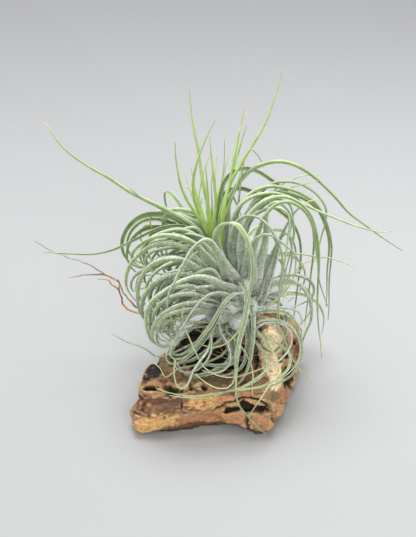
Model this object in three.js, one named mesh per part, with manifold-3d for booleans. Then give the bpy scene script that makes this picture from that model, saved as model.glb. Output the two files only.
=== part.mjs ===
// A silver air plant on a piece of driftwood: the wood, the rosette of recurving leaves on its short
// stem, the bright young leaves of its heart, and its wiry roots. Millimetres, +Z up, X to the right
// and Y to the back. The origin is on the flat underside of the wood.
import * as THREE from "three";
import { mergeVertices } from "three/addons/utils/BufferGeometryUtils.js";
import Module from "manifold-3d";

const wasm = await Module();
wasm.setup();

// Driving dimensions
const GAP = 0.35; // clearance between neighbouring pieces
const WOOD_CENTRE = [2, -2]; // where the radial lines of the wood's surface start
const WOOD_TOP = 25; // height of the wood's upper face before its lumps
const STEM_FOOT = new THREE.Vector3(11, 17, 30.5);
const STEM_TOP = new THREE.Vector3(2, 16, 66);
// Height along the stem and radius of the core that the sheaths clothe
const CORE = [[0, 5], [0.08, 6.5], [0.35, 8.5], [0.7, 10.5], [1, 10.5], [1.2, 8], [1.28, 4]];
const CORE_SIDES = 12;
const SEAT_DEPTH = 3; // how far a leaf's foot is sunk in the core
const BASE_SIDES = 6; // of a swollen sheath foot
const BASE_STRETCH = 0.9; // height of a swollen sheath foot to its width
const TIP_WIDTH = 0.8; // a leaf at its tip
const KEEL_DEPTH = 1.5; // how far the keel stands under the edges
const TIP_DEPTH = 0.75;
const BLADE_LIFT = 0.3; // share of its depth that a blade's edges stand over its path
const SHEATH_LIFT = 0.16; // share of its width that a sheath's edges stand over it
const RING_STEPS = 64; // places along a leaf where a cross section may stand
const RING_TOLERANCE = 1; // how far a leaf may stray from its path between cross sections
const WAIST_REACH = 0.8; // share of a sheath's reach at which a cross section always stands
const LEAF_CLEARANCE = 3; // middle of a leaf over the wood
const CLEARING_STEP = 0.5;
const OVER_GROUND = 6; // lowest middle of a leaf beside the wood
const ROOT_WIDTH = 1.4;
const ROOT_TIP = 0.7;
const ROOT_SIDES = 4;
const ROOT_DETAIL = 1.6; // cross sections of a long root for each point of its path

// How leaves grow: width of the sheath at its foot, how far up the sheath reaches, width of the blade,
// and how late the blade starts to narrow
const FAN_GROWTH = { sheath: 13, reach: 34, blade: 3.2, taper: 2.6 };
const LONG_GROWTH = { sheath: 7, reach: 30, blade: 2.9, taper: 1.2 };
const LEFT_GROWTH = { sheath: 7.5, reach: 19, blade: 3.2, taper: 2.6 };
const INNER_GROWTH = { sheath: 6, reach: 16, blade: 2.9, taper: 2.2 };
const FRONT_GROWTH = { sheath: 5, reach: 13, blade: 3.1, taper: 2.6 };
const BAR_GROWTH = { sheath: 6, reach: 40, blade: 2.5, taper: 1.3 };
const LOOP_GROWTH = { sheath: 5.5, reach: 13, blade: 2.5, taper: 1.8 };
const SPIRAL_GROWTH = { sheath: 7, reach: 28, blade: 3.1, taper: 2 };
const HEART_GROWTH = { sheath: 5, reach: 20, blade: 2.5, taper: 1.6 };

// The line of sight that leaf paths are given along. A path point is [across, down, back]: across and
// down are picture units from the top left corner of the view, and back is the point's own Y.
const SIGHT_TARGET = new THREE.Vector3(-5, 8, 75);
const SIGHT_ELEVATION = THREE.MathUtils.degToRad(38);
const SIGHT_DISTANCE = 700;
const PICTURE_MIDDLE = [208, 268.5];
const PICTURE_UNIT = 0.5; // millimetres at the sight target

// Plan outline of the wood, anticlockwise from its front left corner
const WOOD_OUTLINE = [
  [-39, -33], [-22, -33], [-2, -30], [12, -32], [25, -34], [31, -24], [37, -8], [43, 11],
  [43, 24], [33, 33], [16, 34], [-4, 28], [-18, 18], [-25, 6], [-28, -4], [-35, -13], [-40, -20],
  [-43, -28],
];
// Lumps and dents of the upper face: x, y, height, radius
const WOOD_LUMPS = [
  [-35, -16, 6, 5], [-26, -7, 6, 5], [-37, -26, -3, 6], [-26, -20, 3, 5], [-14, -25, 3, 7],
  [4, -27, 2, 6], [24, 20, 8, 10], [26, 8, 10, 9], [28, -4, 8, 8], [30, -15, 5, 7],
  [38, 22, 4, 6], [12, -14, -7, 7], [14, 0, -6, 7], [-4, -12, -6, 7], [-18, 2, -2, 7],
  [5, 24, 4, 9], [-6, 16, 2, 8],
];
// Hollows worn into the sides: x, y, z, depth, spread along the side, spread in height
const WOOD_HOLLOWS = [
  [17, -35, 15, 7, 6, 4], [4, -33, 14, 4, 8, 3], [-30, -35, 21.5, 3, 10, 2],
  [-12, -34, 20, 2.5, 6, 2.5], [-8, -34, 4, 3.5, 18, 6], [37, -16, 14, 5, 6, 6],
  [43, 2, 17, 5, 6, 6], [45, 16, 11, 3, 6, 6], [-45, -26, 15, 3, 6, 4], [-26, 12, 14, 5, 8, 8],
  [2, 33, 12, 4, 8, 8], [26, 35, 18, 4, 7, 7], [-42, -28, 22, 3, 7, 5],
];
// The front edge is worn up off the ground between its two feet
const FRONT_ARCH = { x: 0, height: 2.4, halfWidth: 16, back: -20 };
const SIDE_SHARE = 0.85; // points further out than this share of the outline are on the wood's side
const RIM_RISE = 0.93; // share of the height over which the side turns into the top
const WOOD_AROUND = 72; // points of each row
const OUTLINE_STEPS = 60; // samples of the outline that leaves are kept clear by
// Share of the outline's radius and of the height for each row, from the underside's middle up
const WOOD_ROWS = [
  [0.3, 0], [0.88, 0], [0.97, 0.03], [1, 0.13], [1.01, 0.26], [1.01, 0.4], [1.01, 0.54],
  [1, 0.68], [0.99, 0.81], [0.965, 0.93], [0.92, 1], [0.85, 1], [0.77, 1], [0.68, 1],
  [0.58, 1], [0.47, 1], [0.35, 1], [0.22, 1], [0.1, 1],
];

// Mature leaves along the sight lines: how far up the stem each one sits, then its path. They are the
// silver fan at the left, the long outward ones, the left curls, the front curls, the upright bars at
// the right, and the loops at the lower right.
const FAN_LEAVES = [
  [0.45, [230, 280, 0], [224, 265, -5], [217, 252, -8], [210, 242, -10], [203, 240, -12], [195, 246, -14],
    [187, 257, -16], [181, 269, -18], [176, 279, -19], [171, 288, -20], [168, 298, -20], [168, 309, -19],
    [172, 320, -18], [179, 329, -17]],
  [0.5, [222, 283, 4], [213, 268, 0], [204, 255, -2], [196, 246, -3], [186, 240, -3], [175, 236.5, -3],
    [162, 236, -3], [150, 239, -3], [140, 245, -2], [133, 252, -2], [132, 259, -2], [138, 265, -3],
    [148, 267, -5], [158, 265, -6]],
  [0.45, [218, 285, 3], [207, 273, -1], [197, 261, -3], [188, 251, -4], [178, 245.5, -4], [165, 243.5, -4],
    [152, 246, -4], [141, 253, -4], [132, 262, -4], [127, 273, -4], [126, 284, -4], [130, 294, -3],
    [136, 301, -2]],
  [0.42, [216, 290, 2], [206, 279, -2], [196, 269, -5], [186, 262, -7], [175, 259, -8], [163, 260, -8],
    [152, 265, -8], [144, 273, -8], [139, 284, -8], [137.5, 297, -8], [139, 310, -7], [145, 320, -6],
    [153, 321, -5]],
  [0.4, [214, 294, 0], [204, 284, -4], [193, 277, -7], [182, 275, -9], [170, 276, -10], [158, 281, -11],
    [149, 289, -11], [143, 300, -11], [142, 312, -10], [146, 322, -9], [154, 329, -8], [163, 330, -7]],
  [0.35, [228, 292, -2], [219, 285, -8], [209, 279, -12], [198, 277, -14], [187, 279, -16], [176, 284, -17],
    [165, 291, -18], [155, 298, -18], [148, 307, -18], [146, 318, -18], [147, 330, -17], [152, 341, -16],
    [161, 346, -15], [170, 345, -15]],
];
const LONG_LEAVES = [
  [0.85, [204, 240, 14], [192, 225, 17], [178, 216, 18], [165, 209, 19], [150, 202, 20], [130, 192, 22],
    [109, 178, 24], [86, 165, 26], [63, 147.5, 29], [45, 122.5, 32]],
  [0.8, [206, 243, 13], [196, 232, 15], [184, 222, 16], [170, 214, 17], [156, 206, 18], [143, 199, 19],
    [130, 189, 20]],
  [0.7, [205, 247, 10], [196, 234, 12], [186, 227, 12], [170, 226, 11], [152, 231, 9], [132, 241, 7],
    [112, 250, 5], [94, 254, 3], [75, 254, 2], [56, 253, 2], [43, 252, 3]],
  [0.85, [230, 255, 14], [228, 238, 17], [227, 220, 20], [228, 205, 23], [234, 190, 25], [243, 177, 27],
    [254, 168, 28], [267, 163, 29], [281, 161.5, 29], [295, 165, 29], [309, 173, 28], [322, 184, 28],
    [336, 198, 27], [349, 213, 26], [365, 225, 25], [383, 238, 24], [402, 250.5, 23]],
  [0.75, [234, 250, 11], [232, 235, 13], [233, 220, 14], [240, 206, 15], [250, 198, 16], [262, 194, 17],
    [276, 193.5, 17], [290, 198, 17], [305, 205, 16], [320, 212, 15], [335, 218, 14], [350, 224, 13],
    [366, 229, 12], [380, 232, 12], [393, 231, 12]],
];
const LEFT_LEAVES = [
  [0.75, [206, 245, 12], [197, 236, 15], [188, 227, 17], [177, 219, 18], [165, 215, 19], [152, 214, 20],
    [140, 217, 20], [130, 225, 20], [124, 235, 20], [122, 246, 20], [125, 256, 19], [132, 264, 18],
    [142, 268, 16], [152, 266, 15]],
  [0.65, [208, 252, 8], [199, 241, 8], [190, 233, 8], [178, 230, 7], [166, 232, 6], [154, 237, 5],
    [145, 245, 4], [140, 255, 4], [143, 264, 3], [151, 269, 2], [160, 268, 1]],
  [0.55, [212, 272, 8], [198, 262, 7], [184, 257, 6], [170, 262, 4], [156, 266, 3], [144, 270, 3],
    [135, 276, 3], [131, 284, 3], [133, 291, 2], [140, 289, 0]],
  [0.6, [210, 262, 8], [200, 252, 6], [190, 247, 5], [176, 247, 4], [163, 249, 3], [152, 252, 2],
    [146, 259, 1], [148, 267, 0], [155, 273, -2], [164, 274, -3]],
  [0.5, [212, 276, 6], [202, 267, 3], [190, 262, 1], [176, 262, -1], [163, 267, -3], [153, 275, -4],
    [147, 285, -5], [148, 295, -5], [155, 301, -5], [164, 301, -5]],
  [0.48, [213, 284, 4], [203, 276, 1], [191, 271, -1], [178, 271, -3], [166, 275, -5], [156, 283, -6],
    [150, 293, -7], [151, 304, -7], [158, 310, -7], [167, 309, -7]],
  [0.38, [213, 298, -2], [203, 291, -7], [192, 287, -10], [180, 287, -12], [168, 291, -13], [158, 298, -14],
    [151, 308, -14], [150, 320, -14], [156, 329, -13], [165, 330, -12]],
  [0.33, [212, 303, -4], [202, 297, -9], [190, 294, -12], [178, 295, -14], [166, 300, -15], [157, 308, -15],
    [153, 318, -15], [156, 328, -14], [164, 333, -13], [173, 331, -12]],
  [0.28, [214, 308, -6], [205, 305, -12], [195, 303.5, -16], [184, 304.5, -18], [173, 308, -20],
    [163, 314, -21], [156, 322, -21], [152, 332, -20], [154, 341, -19], [161, 346, -18], [170, 346, -18]],
  [0.25, [212, 314, -6], [202, 311, -12], [190, 310, -16], [178, 312, -18], [168, 315, -20], [160, 322, -20],
    [157, 331, -19], [160, 339, -18], [167, 342, -17], [175, 341, -17]],
  [0.8, [208, 236, 18], [203, 222, 20], [197, 214, 21], [188, 211, 21], [178, 209.5, 21], [165, 211, 21],
    [154, 213, 21], [150, 220, 20], [152, 229, 19]],
  [0.75, [207, 238, 16], [200, 226, 18], [190, 219, 19], [178, 215, 19], [168, 213, 19], [163, 218, 18],
    [163, 227, 17], [168, 234, 16]],
];
const FRONT_LEAVES = [
  [0.28, [233, 300, -4], [226, 295, -9], [217, 293, -13], [208, 295, -16], [200, 301, -19], [192, 311, -21],
    [185, 322, -23], [179, 333, -24], [173, 344, -25], [170, 352, -26], [173, 358, -26], [182, 358, -26],
    [191, 352, -25], [200, 343, -23]],
  [0.3, [244, 298, -3], [241, 293, -6], [234, 294, -10], [226, 301, -14], [219, 311, -17], [213, 322, -20],
    [206, 331, -22], [198, 341, -24], [189, 350, -25], [180, 355, -26], [173, 354, -26], [169, 348, -25],
    [169, 342, -24]],
  [0.26, [236, 305, -5], [228, 303, -10], [221, 310, -15], [216, 321, -18], [210, 332, -21], [202, 343, -24],
    [193, 353, -26], [184, 360, -27], [175, 364, -28], [168, 362, -28], [166, 355, -27], [169, 348, -26]],
  [0.2, [230, 314, -4], [222, 312, -10], [215, 316, -14], [211, 326, -17], [211, 338, -20], [211, 350, -23],
    [206, 361, -26], [198, 369, -28], [189, 372, -29], [180, 371, -29], [175, 365, -29], [174, 358, -28]],
  [0.18, [228, 318, -4], [219, 318, -10], [213, 325, -15], [211, 338, -19], [207, 351, -24], [199, 362, -28],
    [193, 371, -31], [189, 381, -33], [184, 388, -34], [178, 387, -34], [175, 379, -33], [174, 369, -32],
    [176, 360, -31]],
  [0.22, [226, 320, -6], [219, 324, -11], [221, 333, -16], [227, 344, -20], [230, 355, -23], [229, 364, -26],
    [222, 371, -28], [212, 373, -29], [202, 370, -29]],
  [0.6, [224, 262, 8], [218, 247, 6], [216, 236, 3], [220, 227, 0], [228, 222.5, -4], [236, 224, -7],
    [243, 232, -10], [248, 243, -12], [251.5, 256, -14], [252.5, 270, -16], [251, 286, -18], [248, 302, -20],
    [244.5, 318, -22], [240, 334, -25], [237, 350, -28], [235.5, 366, -31], [235, 378, -34], [230, 387, -36],
    [221, 389, -36], [211, 386, -35], [202, 380, -34], [195, 374, -33]],
  [0.4, [240, 280, 2], [246, 290, -4], [247, 303, -10], [245, 318, -15], [241, 333, -20], [238, 348, -25],
    [237, 363, -29], [236, 378, -34], [235, 391, -38]],
  [0.12, [236, 336, -6], [238, 347, -12], [236, 357, -17], [229, 364, -21], [218, 366, -24], [207, 365, -26],
    [197, 367, -28], [190, 373, -30]],
  [0.15, [228, 335, -6], [220, 342, -12], [210, 349, -17], [200, 356, -21], [190, 361, -24], [180, 363, -26],
    [173, 368, -28]],
  [0.1, [232, 340, -8], [233, 352, -14], [228, 363, -19], [218, 370, -24], [206, 374, -27], [193, 376, -29],
    [182, 371, -30], [177, 363, -30]],
  [0.3, [251, 305, -4], [253, 318, -8], [253, 332, -12], [252, 346, -16], [250, 360, -20], [246, 372, -24],
    [240, 382, -28], [232, 388, -32]],
  [0.2, [246, 325, -2], [248, 338, -8], [247, 350, -13], [245, 361, -17], [240, 369, -21], [232, 373, -24],
    [222, 376, -27]],
];
const BAR_LEAVES = [
  [0.9, [226, 262, 14], [221, 245, 16], [219, 228, 18], [219, 212, 20], [220, 196, 22], [224, 182, 24],
    [232, 172, 26], [244, 168, 28], [257, 171, 29], [270, 179, 30], [283, 189, 30], [296, 198, 29],
    [306, 209, 28], [312, 223, 27], [314, 239, 26], [313, 256, 25], [311, 273, 24], [309, 290, 23],
    [307, 306, 22], [305, 322, 21], [304, 334, 20]],
  [0.8, [236, 262, 10], [233, 245, 11], [233, 228, 13], [237, 212, 15], [246, 198, 17], [257, 190, 19],
    [269, 186.5, 20], [282, 187.5, 21], [295, 191, 22], [307, 197, 22], [317, 205, 22], [324, 217, 21],
    [329, 231, 20], [331.5, 246, 19], [331, 261, 18], [329.5, 276, 17], [329, 292, 16], [329, 307, 16],
    [328, 320, 15]],
  [0.8, [243, 268, 8], [241, 250, 8], [243, 232, 9], [249, 216, 10], [260, 204, 11], [272, 198, 12],
    [286, 197, 12], [298, 202, 12], [308, 211, 11], [314, 224, 10], [317.5, 240, 9], [319, 257, 8],
    [318.5, 275, 7], [317.5, 293, 6], [317.5, 310, 5], [318.5, 327, 4], [320.5, 343, 4], [321.5, 357, 4]],
  [0.85, [240, 240, 18], [247, 220, 20], [254, 203, 22], [262, 191, 24], [272, 184, 25], [284, 181.5, 26],
    [297, 183, 26], [309, 188.5, 26], [319, 197, 25], [326, 209, 24], [325, 224, 23], [321, 238, 22],
    [318, 251, 21], [314, 262, 20]],
  [0.7, [232, 245, 10], [234, 230, 8], [240, 219, 5], [250, 215, 2], [260, 218, 0], [269, 226, -2],
    [276, 237, -4], [281, 248, -5], [283, 262, -6], [281, 278, -7], [279, 294, -8], [278, 310, -9],
    [277, 324, -10], [281, 335, -11], [285, 341, -11]],
  [0.55, [246, 270, 6], [249, 254, 2], [254, 242, -1], [261, 235.5, -3], [269, 234.5, -4], [277, 239, -4],
    [285, 245, -3], [293, 252, -2], [299, 261, -1], [302, 268, 0], [297, 273, 0], [289, 277, -1],
    [283, 285, -2]],
  [0.75, [238, 238, 14], [246, 224, 13], [256, 214, 12], [268, 208.5, 10], [280, 208, 8], [288, 213, 6],
    [290, 224, 4], [288, 240, 1], [286, 256, -2], [283, 274, -4], [281, 292, -6], [279, 308, -7],
    [280, 322, -8]],
  [0.8, [240, 244, 16], [246, 228, 17], [256, 213, 18], [267, 203, 18], [279, 199, 18], [289, 204, 17],
    [293, 215, 15], [291, 228, 13], [288, 242, 11]],
  [0.65, [252, 280, 4], [252, 262, 3], [255, 244, 3], [260, 227, 4], [267, 213, 5], [277, 204, 6],
    [289, 202, 6], [300, 207, 6], [309, 217, 6], [314, 231, 5], [316, 246, 4], [318, 262, 4],
    [319, 279, 4], [323, 293, 5], [328, 307, 6]],
  [0.6, [256, 282, 8], [260, 264, 9], [264, 247, 10], [266, 231, 11], [266, 217, 12], [269, 206, 13],
    [277, 202, 13], [285, 207, 12], [291, 216, 11], [294, 228, 10], [293, 241, 9], [290, 254, 8],
    [286, 270, 6], [282, 290, 5]],
  [0.5, [258, 296, 8], [264, 279, 10], [270, 262, 12], [277, 246, 14], [284, 231, 16], [291, 218, 18],
    [299, 208, 19], [308, 202, 20], [317, 199, 21]],
  [0.45, [262, 302, 6], [269, 284, 7], [274, 266, 8], [278, 249, 9], [282, 236, 9], [287, 234, 8],
    [291, 243, 7], [292, 256, 6], [290, 270, 5], [286, 285, 4], [283, 300, 3]],
];
const LOOP_LEAVES = [
  [0.35, [250, 296, 14], [258, 288, 16], [268, 280, 18], [278, 276, 20], [289, 275, 21], [300, 276, 22],
    [309, 280, 22], [314, 288, 22], [312, 297, 21], [305, 302, 20], [296, 306, 19], [288, 308, 18]],
  [0.3, [250, 302, 8], [258, 297, 8], [267, 290, 8], [276, 283, 8], [285, 279, 8], [294, 281, 8],
    [302, 287, 8], [308, 296, 7], [311.5, 308, 6], [311, 320, 5], [307, 330, 4], [303, 340, 3],
    [301, 352, 1], [297, 364, -1]],
  [0.25, [250, 309, 6], [260, 308, 4], [270, 307.5, 3], [280, 307.5, 2], [290, 308.5, 2], [297, 311, 2],
    [301, 317, 2], [302, 325, 1]],
  [0.22, [248, 318, 4], [255, 314, 2], [264, 311, 1], [274, 310.5, 0], [284, 312, 0], [291, 316, 0],
    [296, 323, -1], [299, 331, -2], [301, 341, -4], [302, 352, -6], [300, 363, -9], [294, 372, -12],
    [286, 379, -16], [276, 384, -20], [264, 388, -24], [250, 389, -28]],
  [0.18, [250, 332, 0], [254, 326, -3], [261, 321, -5], [271, 319.5, -6], [281, 321, -7], [289, 325, -7],
    [296, 333, -8], [300, 343, -9], [300, 354, -11], [296, 365, -14], [289, 373, -18], [280, 380, -22]],
  [0.16, [250, 336, -2], [256, 328, -5], [264, 323, -7], [274, 322, -8], [283, 324, -9], [290, 331, -10],
    [292, 341, -11], [288, 351, -13], [281, 359, -16], [272, 366, -19], [262, 374, -23], [252, 381, -27],
    [243, 386, -31]],
  [0.3, [255, 300, 14], [266, 298, 13], [277, 302, 11], [284, 312, 8], [286, 323, 6], [285, 334, 4],
    [281, 345, 2], [273, 352, 0], [265, 349, -1], [260, 341, -1], [261, 332, 0]],
];
// Swollen feet of old sheaths round the front of the stem: across, down, back, radius
const SHEATH_BASES = [
  [231, 303, 0, 5.6], [239, 321, 1, 5.4], [211, 301, 2, 5], [215, 317, 3, 4.8], [230, 334, 8, 5],
  [249, 306, 4, 4.8], [244, 286, 4, 4.2],
];

// An inner leaf follows each left leaf and the first bars, closer to the stem and further back
const INNER_BARS = 2;
const INNER_SIZE = [0.66, 0.9]; // share of the drawn leaf's size
const INNER_SHIFT = 12; // how far it strays across and down, in picture units
const INNER_BACK = [3, 13]; // how far it stays behind

// The other mature leaves stand at the back in a golden-angle spiral up the stem
const GOLDEN_ANGLE = THREE.MathUtils.degToRad(137.508);
const SPIRAL = {
  count: 16,
  seats: [0.05, 0.78], // share of the stem's height of the lowest and the highest
  turns: [0.12, 0.88], // from the right round the back to the left, in half turns
  lengths: [88, 110], // shortest and longest
  shorter: 0.22, // share by which leaves to either side are shorter
  rises: [1.35, 0.5], // angle off the stem at the foot of the lowest and the highest, in radians
  curls: [2, 3.3], // least and most that one bends over
  sway: 0.9, // how far one turns sideways
  steps: 11, // path points along each leaf
};

// Young leaves of the heart, which start together in the crown
const HEART_SEAT = 1.16; // share of the stem's height, just under the core's top
const HEART_BOSS = 4.1; // radius of the ball that joins their feet
const BOSS_SIDES = 12;
const HEART_LEAVES = [
  [[205, 228, 13], [196, 214, 13], [187, 200, 14], [181, 186, 16], [177.5, 170, 19], [175.5, 155, 22],
    [175, 140, 25]],
  [[206, 230, 13], [199, 212, 14], [194.5, 198, 16], [193, 184, 18], [195, 170, 20], [199, 156, 23],
    [204, 143, 27], [210, 130, 30], [217, 117.5, 33]],
  [[211, 222, 15], [207, 200, 19], [203, 182, 23], [200.5, 165, 28], [198.5, 150, 32], [194.5, 132, 38],
    [191.5, 113, 44], [190, 90, 50]],
  [[208, 215, 12], [208, 197, 10], [207, 182, 8], [205.5, 163.5, 6]],
  [[214, 223, 14], [216, 205, 17], [215, 188, 20], [213, 170, 24], [211, 152, 30], [210, 134.5, 35]],
  [[204, 222, 18], [201, 208, 23], [197, 196, 29], [191, 188.5, 36], [186, 188, 42]],
  [[223, 215, 13], [226, 198, 15], [230, 180, 18], [233, 163, 21], [236, 147, 25], [240, 130, 30],
    [247, 111.5, 36]],
  [[221, 212, 16], [226, 196, 19], [233, 178, 23], [240, 166, 26], [249, 151, 30], [259, 135, 34],
    [268, 117, 39], [274, 100, 44], [279, 82, 48]],
  [[222, 210, 20], [228, 190, 27], [233, 172, 34], [238, 155, 40], [242, 140, 43], [247, 125, 45]],
];

// Roots: a mat round the foot of the stem and the loose tuft at the left
const ROOT_TUFT = [
  [[135, 312, 27], [124, 305.5, 27], [121, 296, 27], [118.5, 289.5, 27], [119.5, 283, 27], [114, 278.5, 27],
    [106, 275.5, 27], [90, 264.5, 27], [69, 257.5, 27], [51, 250.5, 27], [34, 241.5, 27]],
  [[118, 280.5, 27], [106, 275.5, 27], [93, 274.5, 26], [83, 275.5, 25], [69, 277.5, 24]],
  [[121, 296, 27], [118, 289.5, 27], [112, 284.5, 27], [107, 279.5, 26], [98, 279, 25]],
];
// The long root runs from the crown over the back left edge of the wood: x, y, height above it
const ROOT_RUN = [
  [11, 17, 2], [4, 20, 1.6], [-4, 21.5, 1.5], [-12, 21, 3], [-22, 23, 5], [-32, 25, 8],
];
const ROOT_CROWN = { centre: new THREE.Vector3(11, 17, 29), size: [8.5, 8, 3.2] };
const CROWN_SIDES = 8;
// Short roots that clasp the wood
const ROOT_MAT = {
  count: 7,
  points: 5,
  start: 3, // distance of the first point from the middle of the crown
  steps: [3.2, 4], // shortest and longest way from one point to the next
  bend: 0.35,
  over: 0.9, // height of their middle over the wood
};

// A repeatable number from 0 to 1 for leaf k and purpose j
function draw(k, j) {
  const s = Math.sin(k * 12.9898 + j * 78.233) * 43758.5453;
  return s - Math.floor(s);
}

const lerp = (a, b, t) => a + (b - a) * t;

function smooth(t) {
  const c = Math.min(1, Math.max(0, t));
  return c * c * (3 - 2 * c);
}

// The upper face of the wood above a plan point
function woodTop(x, y) {
  let z = WOOD_TOP + 0.9 * Math.sin(0.31 * x + 1.3) * Math.cos(0.27 * y + 0.7);
  z += 0.6 * Math.sin(0.63 * x + 0.4 * y + 2);
  for (const [cx, cy, height, radius] of WOOD_LUMPS) {
    z += height * Math.exp(-((x - cx) ** 2 + (y - cy) ** 2) / (radius * radius));
  }
  return z;
}

// The plan outline of the wood as a closed curve, and even samples of it
const outlineCurve = new THREE.CatmullRomCurve3(
  WOOD_OUTLINE.map(([x, y]) => new THREE.Vector3(x, y, 0)),
  true,
  "centripetal",
);
const outlinePoints = outlineCurve.getPoints(OUTLINE_STEPS).slice(0, OUTLINE_STEPS);

// Whether a plan point lies in the outline, by counting its crossings, or within a margin of it
function inWoodPlan(x, y, margin) {
  let inside = false;
  let nearest = Infinity;
  outlinePoints.forEach((a, i) => {
    const b = outlinePoints[(i + 1) % OUTLINE_STEPS];
    if (a.y > y !== b.y > y && x < a.x + ((y - a.y) * (b.x - a.x)) / (b.y - a.y)) inside = !inside;
    nearest = Math.min(nearest, Math.hypot(a.x - x, a.y - y));
  });
  return inside || nearest < margin;
}

// A closed solid from equal rings of points, with a fan to a middle point at each end
function loft(rings) {
  const n = rings[0].length;
  const positions = [];
  const index = [];
  rings.forEach((ring) => ring.forEach((p) => positions.push(p.x, p.y, p.z)));
  const middle = (ring) => {
    const c = ring.reduce((sum, p) => sum.add(p), new THREE.Vector3()).divideScalar(n);
    positions.push(c.x, c.y, c.z);
    return positions.length / 3 - 1;
  };
  for (let i = 0; i + 1 < rings.length; i++) {
    for (let j = 0; j < n; j++) {
      const a = i * n + j;
      const b = i * n + ((j + 1) % n);
      index.push(a, b, b + n, a, b + n, a + n);
    }
  }
  const first = middle(rings[0]);
  const last = middle(rings[rings.length - 1]);
  const end = (rings.length - 1) * n;
  for (let j = 0; j < n; j++) {
    const k = (j + 1) % n;
    index.push(first, k, j, last, end + j, end + k);
  }
  return solidFrom(positions, index);
}

// A solid from a closed mesh, with its faces turned outwards
function solidFrom(positions, index) {
  const mesh = new wasm.Mesh({
    numProp: 3,
    vertProperties: new Float32Array(positions),
    triVerts: new Uint32Array(index),
  });
  const solid = new wasm.Manifold(mesh);
  if (solid.volume() > 0) return solid;
  const turned = index.slice();
  for (let i = 0; i < turned.length; i += 3) {
    [turned[i + 1], turned[i + 2]] = [turned[i + 2], turned[i + 1]];
  }
  return solidFrom(positions, turned);
}

// The point of the sight line through a picture point that lies at the given Y
function sighted(across, down, back) {
  const sin = Math.sin(SIGHT_ELEVATION);
  const cos = Math.cos(SIGHT_ELEVATION);
  const right = PICTURE_UNIT * (across - PICTURE_MIDDLE[0]);
  const up = PICTURE_UNIT * (PICTURE_MIDDLE[1] - down);
  const eye = new THREE.Vector3(0, -cos, sin).multiplyScalar(SIGHT_DISTANCE).add(SIGHT_TARGET);
  const seen = new THREE.Vector3(right, up * sin, up * cos).add(SIGHT_TARGET);
  return eye.clone().lerp(seen, (back - eye.y) / (seen.y - eye.y));
}

// The same point, brought towards the eye until it clears the wood
function clearOfWood(across, down, back) {
  let y = back;
  let p = sighted(across, down, y);
  while (inWoodPlan(p.x, p.y, LEAF_CLEARANCE) && p.z < woodTop(p.x, p.y) + LEAF_CLEARANCE) {
    y -= CLEARING_STEP;
    p = sighted(across, down, y);
  }
  return p;
}

// The stem's direction, and the point at a share of its height
const stemAxis = STEM_TOP.clone().sub(STEM_FOOT).normalize();
const stemPoint = (h) => STEM_FOOT.clone().lerp(STEM_TOP, h);

// Radius of the core at a share of the stem's height
function coreRadius(h) {
  const i = Math.max(1, CORE.findIndex(([top]) => top >= h));
  const [[h0, r0], [h1, r1]] = [CORE[i - 1], CORE[i]];
  return lerp(r0, r1, (h - h0) / (h1 - h0));
}

// A leaf's path from its foot in the core through its given points
function leafPath(h, points) {
  const middle = stemPoint(h);
  const out = points[0].clone().sub(middle);
  out.addScaledVector(stemAxis, -out.dot(stemAxis)).normalize();
  const foot = middle.addScaledVector(out, coreRadius(h) - SEAT_DEPTH);
  return new THREE.CatmullRomCurve3([foot, ...points], false, "centripetal");
}

// A spiral leaf rises out of the core, then bends over and back under
function spiralPoints(k) {
  const h = lerp(...SPIRAL.seats, (k + 0.5) / SPIRAL.count);
  const rise = lerp(...SPIRAL.rises, h) + 0.25 * (draw(k, 2) - 0.5);
  const curl = lerp(...SPIRAL.curls, draw(k, 3));
  const sway = SPIRAL.sway * (draw(k, 4) - 0.5);
  const turn = lerp(...SPIRAL.turns, ((k * GOLDEN_ANGLE) / Math.PI) % 1) * Math.PI;
  const length = lerp(...SPIRAL.lengths, draw(k, 1)) * (1 - SPIRAL.shorter * Math.cos(turn) ** 2);
  const step = length / SPIRAL.steps;
  const at = stemPoint(h);
  const points = [];
  for (let i = 0; i < SPIRAL.steps; i++) {
    const t = (i + 0.5) / SPIRAL.steps;
    const angle = rise + curl * smooth((t - 0.2) / 0.8);
    const way = turn + sway * t * t;
    const out = new THREE.Vector3(Math.cos(way), Math.sin(way), 0);
    at.copy(offAxis(at, stemAxis, out, step, angle));
    const above = inWoodPlan(at.x, at.y, LEAF_CLEARANCE);
    const over = above ? woodTop(at.x, at.y) + LEAF_CLEARANCE : OVER_GROUND;
    at.z = Math.max(at.z, over);
    if (i > 1) points.push(at.clone());
  }
  return { h, points };
}

// The inner leaf of a drawn one, for leaf k
function innerLeaf([h, ...points], k) {
  const size = lerp(...INNER_SIZE, draw(k, 6));
  const behind = lerp(...INNER_BACK, draw(k, 7));
  const [across0, down0] = points[0];
  return [
    h + 0.04,
    ...points.map(([across, down, back], i) => {
      const t = smooth(i / 3);
      return [
        across0 + size * (across - across0) + t * (1 + t) * INNER_SHIFT * (draw(k, 8) - 0.5),
        down0 + size * (down - down0) + t * (1 + t) * INNER_SHIFT * (draw(k, 9) - 0.5),
        back + t * behind,
      ];
    }),
  ];
}

// The fewest of the given points that keep a path within the tolerance, as their indices
function keyIndices(points, first, last, tolerance) {
  const chord = new THREE.Line3(points[first], points[last]);
  const nearest = new THREE.Vector3();
  let worst = tolerance;
  let split = -1;
  for (let i = first + 1; i < last; i++) {
    const stray = chord.closestPointToPoint(points[i], true, nearest).distanceTo(points[i]);
    if (stray > worst) {
      worst = stray;
      split = i;
    }
  }
  if (split < 0) return [first, last];
  return [
    ...keyIndices(points, first, split, tolerance).slice(0, -1),
    ...keyIndices(points, split, last, tolerance),
  ];
}

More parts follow.
